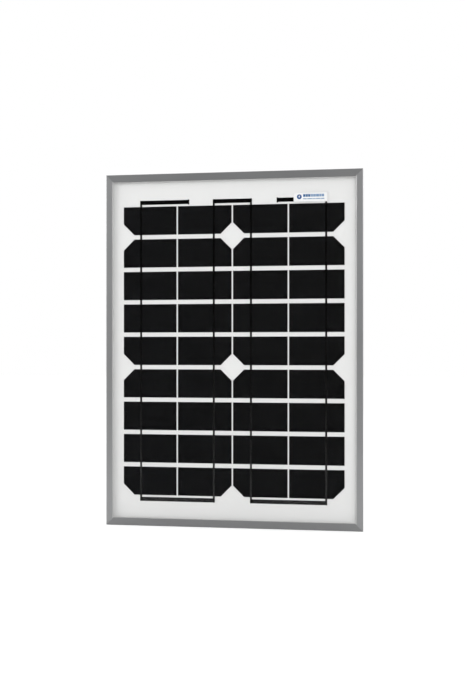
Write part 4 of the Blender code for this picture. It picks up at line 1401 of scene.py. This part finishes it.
# %% Mould the base
walls = solid([box_outline(0)], BOX_FOOT, BOX_RIM, edge=0.45, steps=2)
base = carved(walls, cuts=[solid([box_outline(BOX_WALL)], BOX_FLOOR, BOX_RIM + 1)])
joins, cuts = [], []
for sx in (-1, 1):
    at = (sx * SCREW_AT[0], SCREW_AT[1])
    joins.append(solid([circle(4.0, at)], BOX_FLOOR - 0.5, BOX_RIM, edge=0.2))
    rib_end = sx * (BOX_WIDTH / 2 - 1)
    low = (min(at[0], rib_end), BOX_FLOOR - 0.5, at[1] - 0.6)
    joins.append(block(low, (max(at[0], rib_end), BOX_RIM - 1.5, at[1] + 0.6), 0.15))
    cuts.append(solid([circle(1.9, at, 24)], 2.2, BOX_RIM + 1))
    gland_hole = circle(4.2, (sx * GLAND_AT[0], GLAND_AT[1]))
    cuts.append(solid([gland_hole], BOX_BOTTOM - 1, BOX_BOTTOM + 3, "XY"))
    window = rounded_rectangle(*WINDOW_SIZE, 0.6, (sx * TURN_AT, top_bus_z))
    cuts.append(solid([window], BOX_FOOT - 1, BOX_FLOOR + 1))
    mark = (sx * 38.0, BOX_FLOOR - 0.3, 436.0)
    mark_end = (mark[0] + 3, BOX_FLOOR + 0.5, mark[2] + 0.6)
    joins.append(block((mark[0] - 3, mark[1], mark[2] - 0.6), mark_end, 0.15))
    for step in range(6):
        z = BOX_BOTTOM + 14 + step * 6
        out = sx * (BOX_WIDTH / 2)
        low = (min(out - sx * 0.5, out + sx * 0.5), BOX_FOOT + 1.5, z - 0.7)
        high = (max(out - sx * 0.5, out + sx * 0.5), BOX_RIM - 1.5, z + 0.7)
        joins.append(block(low, high, 0.3))
plus = (-38.0, 436.0)
plus_end = (plus[0] + 0.6, BOX_FLOOR + 0.5, plus[1] + 3)
joins.append(block((plus[0] - 0.6, BOX_FLOOR - 0.3, plus[1] - 3), plus_end, 0.15))
for index in (0, 2, 4):
    barrel, ends = knuckle(index)
    low = (ends[0], HINGE[0] - KNUCKLE_RADIUS, BOX_TOP - 1)
    joins += [block(low, (ends[1], BOX_RIM, HINGE[1]), 0.1), barrel]
base = carved(base, joins, cuts + [pin_bore()])
add_piece("box_base_moulding", base, box_plastic, replaces=["junction_box_base"])
print("base has", len(base.polygons), "faces")

# %% [markdown]
# The lid is a plate with a spigot that drops inside the walls, a raised field, a few finger ribs
# at its foot, and the two knuckles that the base leaves free. It rides on a body of its own, and
# each of its two screws rides on a body of its own.

# %% Mould the lid
LID = "box_lid"
plate = solid([box_outline(0)], LID_UNDER, LID_TOP, edge=0.45, steps=2)
joins = [solid([box_outline(2.5), box_outline(3.8)], LID_UNDER - 1.4, LID_UNDER + 0.5, edge=0.2)]
field = rounded_rectangle(92, 36, 3.0, (0, (BOX_TOP + BOX_BOTTOM) / 2 + 2))
joins.append(solid([field], LID_TOP - 0.5, LID_TOP + 0.35, edge=0.3, steps=2))
for step in range(7):
    x = (step - 3) * 3.0
    rib_low = (x - 0.6, LID_TOP - 0.5, BOX_BOTTOM + 2.5)
    joins.append(block(rib_low, (x + 0.6, LID_TOP + 0.45, BOX_BOTTOM + 9.5), 0.25))
for index in (1, 3):
    barrel, ends = knuckle(index)
    low = (ends[0], LID_UNDER, BOX_TOP - 1)
    joins += [block(low, (ends[1], LID_TOP, HINGE[1]), 0.1), barrel]
cuts = [pin_bore()]
for sx in (-1, 1):
    at = (sx * SCREW_AT[0], SCREW_AT[1])
    cuts.append(solid([circle(3.5, at)], LID_TOP - 0.9, LID_TOP + 1))
    cuts.append(solid([circle(1.7, at, 24)], LID_UNDER - 1, LID_TOP + 1))
lid = carved(plate, joins, cuts)
add_piece("box_lid_moulding", lid, box_plastic, LID, ["junction_box_lid"])
pin = solid([circle(1.0, HINGE, 32)], -38.3, 38.3, "YZ", edge=0.25)
add_piece("lid_hinge_pin", pin, steel, replaces=["hinge_pin"])
repaint("lid_gasket", rubber)
repaint("box_adhesive", glue)
print("lid has", len(lid.polygons), "faces")

# %% [markdown]
# ## Screws
#
# Each screw is turned: a chamfered head, and a thread drawn as fine ridges. The ridges are rings,
# not a true helix, and at this size nobody can tell. The driver slot is cut last.


# %% Turn the screws
TERMINAL_AT = (50.0, 409.0)


def thread(radius, depth, start, end, pitch):
    """Ridges for a turned profile, from the start height to the end height."""
    points, way = [], 1 if end > start else -1
    for i in range(int(abs(end - start) / pitch)):
        low = start + way * i * pitch
        points += [(radius - depth, low), (radius, low + way * pitch * 0.35)]
        points += [(radius, low + way * pitch * 0.6)]
    return points


def slotted_screw(at, shank, head, head_thick, length):
    """A screw from its shank and head radii; at is the middle of the face it seats on."""
    x, seat, z = at
    crest = head_thick * 0.25
    profile = [(0.0, seat - length), (shank * 0.6, seat - length)]
    profile += thread(shank, shank * 0.14, seat - length + 0.3, seat - 0.4, 0.5)
    profile += [(shank, seat - 0.2), (shank, seat), (head, seat), (head, seat + head_thick - crest)]
    profile += [(head - crest * 0.4, seat + head_thick - crest * 0.3)]
    profile += [(head - crest, seat + head_thick), (0.0, seat + head_thick)]
    body = turned(profile, 40, (x, z), "Y")
    slot_low = (x - head - 1, seat + head_thick * 0.54, z - head / 8)
    return carved(body, cuts=[block(slot_low, (x + head + 1, seat + head_thick + 1, z + head / 8))])


for side, sx in SIDES:
    name = f"lid_screw_{side}"
    at = (sx * SCREW_AT[0], 10.6, SCREW_AT[1])
    mesh = slotted_screw(at, shank=1.4, head=3.2, head_thick=1.3, length=6.4)
    add_piece(name + "_turned", mesh, steel, name, [name])
for sign, sx in POLES:
    name = f"terminal_screw_{sign}"
    at = (sx * TERMINAL_AT[0], 5.9, TERMINAL_AT[1])
    mesh = slotted_screw(at, shank=1.1, head=2.2, head_thick=1.2, length=3.3)
    add_piece(name + "_turned", mesh, steel, replaces=[name])
print("four screws")

# %% [markdown]
# ## Terminals and diode
#
# A brass block clamps each wire and stands on a plate that the ribbon is soldered to. The bypass
# diode bridges the plates, so that a shaded panel doesn't block its neighbours. Its leads are bent
# wire, and a pale band marks one end.

# %% Make the terminals
PLATE_FACE = -1.42

for sign, sx in POLES:
    x = sx * TERMINAL_AT[0]
    plate = block((x - 6, -2.62, 402.0), (x + 6, PLATE_FACE, 445.0), 0.2)
    clamp = block((x - 4.5, -1.92, 404.0), (x + 4.5, 5.6, 414.0), 0.45)
    wire_way = solid([circle(1.7, (x, 0.9), 32)], 403, 415, "XY")
    screw_way = solid([circle(1.3, (x, TERMINAL_AT[1]), 24)], 0.9, 6.6)
    mesh = carved(plate, [clamp], [wire_way, screw_way])
    add_piece(f"terminal_{sign}_block", mesh, brass, replaces=[f"terminal_{sign}"])
print("two terminals")

# %% [markdown]
# The diode is a black epoxy cylinder on two bent leads. Each lead is a round wire that follows a
# straight run, an arc and a short drop to its plate, made by carrying a circle along the points.


# %% Make the diode
def wire(points, radius, count=16):
    """A round wire along 3-D points."""
    shape = bmesh.new()
    rings = []
    up = Vector((0, 0, 1))
    for i, here in enumerate(points):
        ahead = points[min(len(points) - 1, i + 1)] - points[max(0, i - 1)]
        out = ahead.normalized().cross(up)
        ring = []
        for k in range(count):
            angle = 2 * math.pi * k / count
            offset = out * math.cos(angle) + up * math.sin(angle)
            ring.append(shape.verts.new((here + radius * offset) * MM))
        rings.append(ring)
    for near, far in zip(rings, rings[1:]):
        for k in range(count):
            m = (k + 1) % count
            shape.faces.new((near[k], near[m], far[m], far[k]))
    shape.faces.new(rings[0][::-1])
    shape.faces.new(rings[-1])
    return close_mesh(shape)


DIODE_AT = (1.8, 426.0)
DIODE_RADIUS = 2.6
LEAD_BEND = 1.4
LEAD_RADIUS = 0.6
LEAD_FOOT = -1.12


def diode_lead(sx):
    y, z = DIODE_AT
    bend_start = TERMINAL_AT[0] - LEAD_BEND
    points = [Vector((sx * 4.0, y, z)), Vector((sx * bend_start, y, z))]
    for k in range(1, 7):
        t = math.pi / 2 * k / 6
        along = bend_start + LEAD_BEND * math.sin(t)
        points.append(Vector((sx * along, y - LEAD_BEND * (1 - math.cos(t)), z)))
    points.append(Vector((sx * TERMINAL_AT[0], LEAD_FOOT, z)))
    return wire(points, LEAD_RADIUS)


barrel = solid([circle(DIODE_RADIUS, DIODE_AT, 40)], -4.75, 4.75, "YZ", edge=0.5, steps=3)
add_piece("diode_body", barrel, epoxy, replaces=["bypass_diode"])
ring = [circle(DIODE_RADIUS + offset, DIODE_AT, 40) for offset in (0.03, -0.05)]
band_mesh = solid(ring, 2.4, 3.6, "YZ")
add_piece("diode_band", band_mesh, label_film)
for side, sx in SIDES:
    add_piece(f"diode_lead_{side}", diode_lead(sx), steel)
print("one diode with two leads")

# %% [markdown]
# ## Cable glands
#
# A gland grips a cable by squeezing a rubber sleeve. Its parts share one axis, so they are turned,
# and the spanner flats are added as hexagons with rounded corners. The nut runs down a coarse
# thread and carries the sleeve with it.

# %% Turn the glands
NUT_FLATS, LOCKNUT_FLATS = 13.5, 10.4


def hexagon(flats, centre):
    corner = flats / 2 / math.cos(math.pi / 6)
    turn = math.pi / 3
    points = [
        (centre[0] + corner * math.cos(i * turn), centre[1] + corner * math.sin(i * turn))
        for i in range(6)
    ]
    return filleted(points, 0.7, 3)


for side, sx in SIDES:
    at = (sx * GLAND_AT[0], GLAND_AT[1])
    profile = [(3.05, 394.3), (3.7, 394.3)]
    profile += thread(4.0, 0.3, 394.0, 388.2, 1.0) + [(3.9, 387.6), (3.9, 385.9), (4.9, 385.9)]
    profile += [(4.9, 383.2)] + thread(5.2, 0.35, 382.9, 375.6, 1.5)
    profile += [(4.85, 375.2), (4.3, 375.2), (3.05, 378.0)]
    stem = turned(profile, 48, at)
    flange = solid([hexagon(NUT_FLATS, at), circle(3.5, at)], 383.4, 386.9, "XY", edge=0.5, steps=2)
    body = carved(stem, [flange])
    add_piece(f"gland_stem_{side}", body, nut_plastic, replaces=[f"gland_body_{side}"])

    washer = [(4.2, 386.95), (6.3, 386.95), (6.6, 387.2), (6.6, 387.7), (6.3, 387.95), (4.2, 387.95)]
    mesh = turned(washer, 48, at)
    add_piece(f"gland_flat_ring_{side}", mesh, rubber, replaces=[f"gland_washer_{side}"])
    ring = [hexagon(LOCKNUT_FLATS, at), circle(4.2, at)]
    mesh = solid(ring, 390.3, 392.9, "XY", edge=0.4, steps=2)
    locknut = f"gland_locknut_{side}"
    add_piece(f"gland_ring_nut_{side}", mesh, nut_plastic, replaces=[locknut])

    sleeve = [(3.05, 370.5), (4.7, 370.5), (4.9, 370.8), (4.9, 373.4), (4.1, 374.9), (3.05, 374.9)]
    mesh = turned(sleeve, 48, at)
    seal_name, nut_name = f"gland_seal_{side}", f"gland_nut_{side}"
    add_piece(f"gland_sleeve_{side}", mesh, rubber, seal_name, [seal_name])

    nut = solid([hexagon(NUT_FLATS, at), circle(5.5, at)], 369.7, 383.1, "XY", edge=0.55, steps=2)
    dome = turned([
        (3.4, 368.4), (5.2, 368.4), (5.9, 368.7), (6.4, 369.3), (6.6, 370.0), (6.6, 370.2), (3.4, 370.2),
    ], 48, at)
    grips = [
        solid([circle(0.5, (at[0] + 7.05 * math.cos(t), at[1] + 7.05 * math.sin(t)), 16)], 372, 384, "XY")
        for t in (math.radians(30 + 60 * k + offset) for k in range(6) for offset in (-9, 9))
    ]
    mesh = carved(nut, [dome], grips)
    add_piece(f"gland_cap_{side}", mesh, nut_plastic, nut_name, [nut_name])
print("two glands, each of five parts")
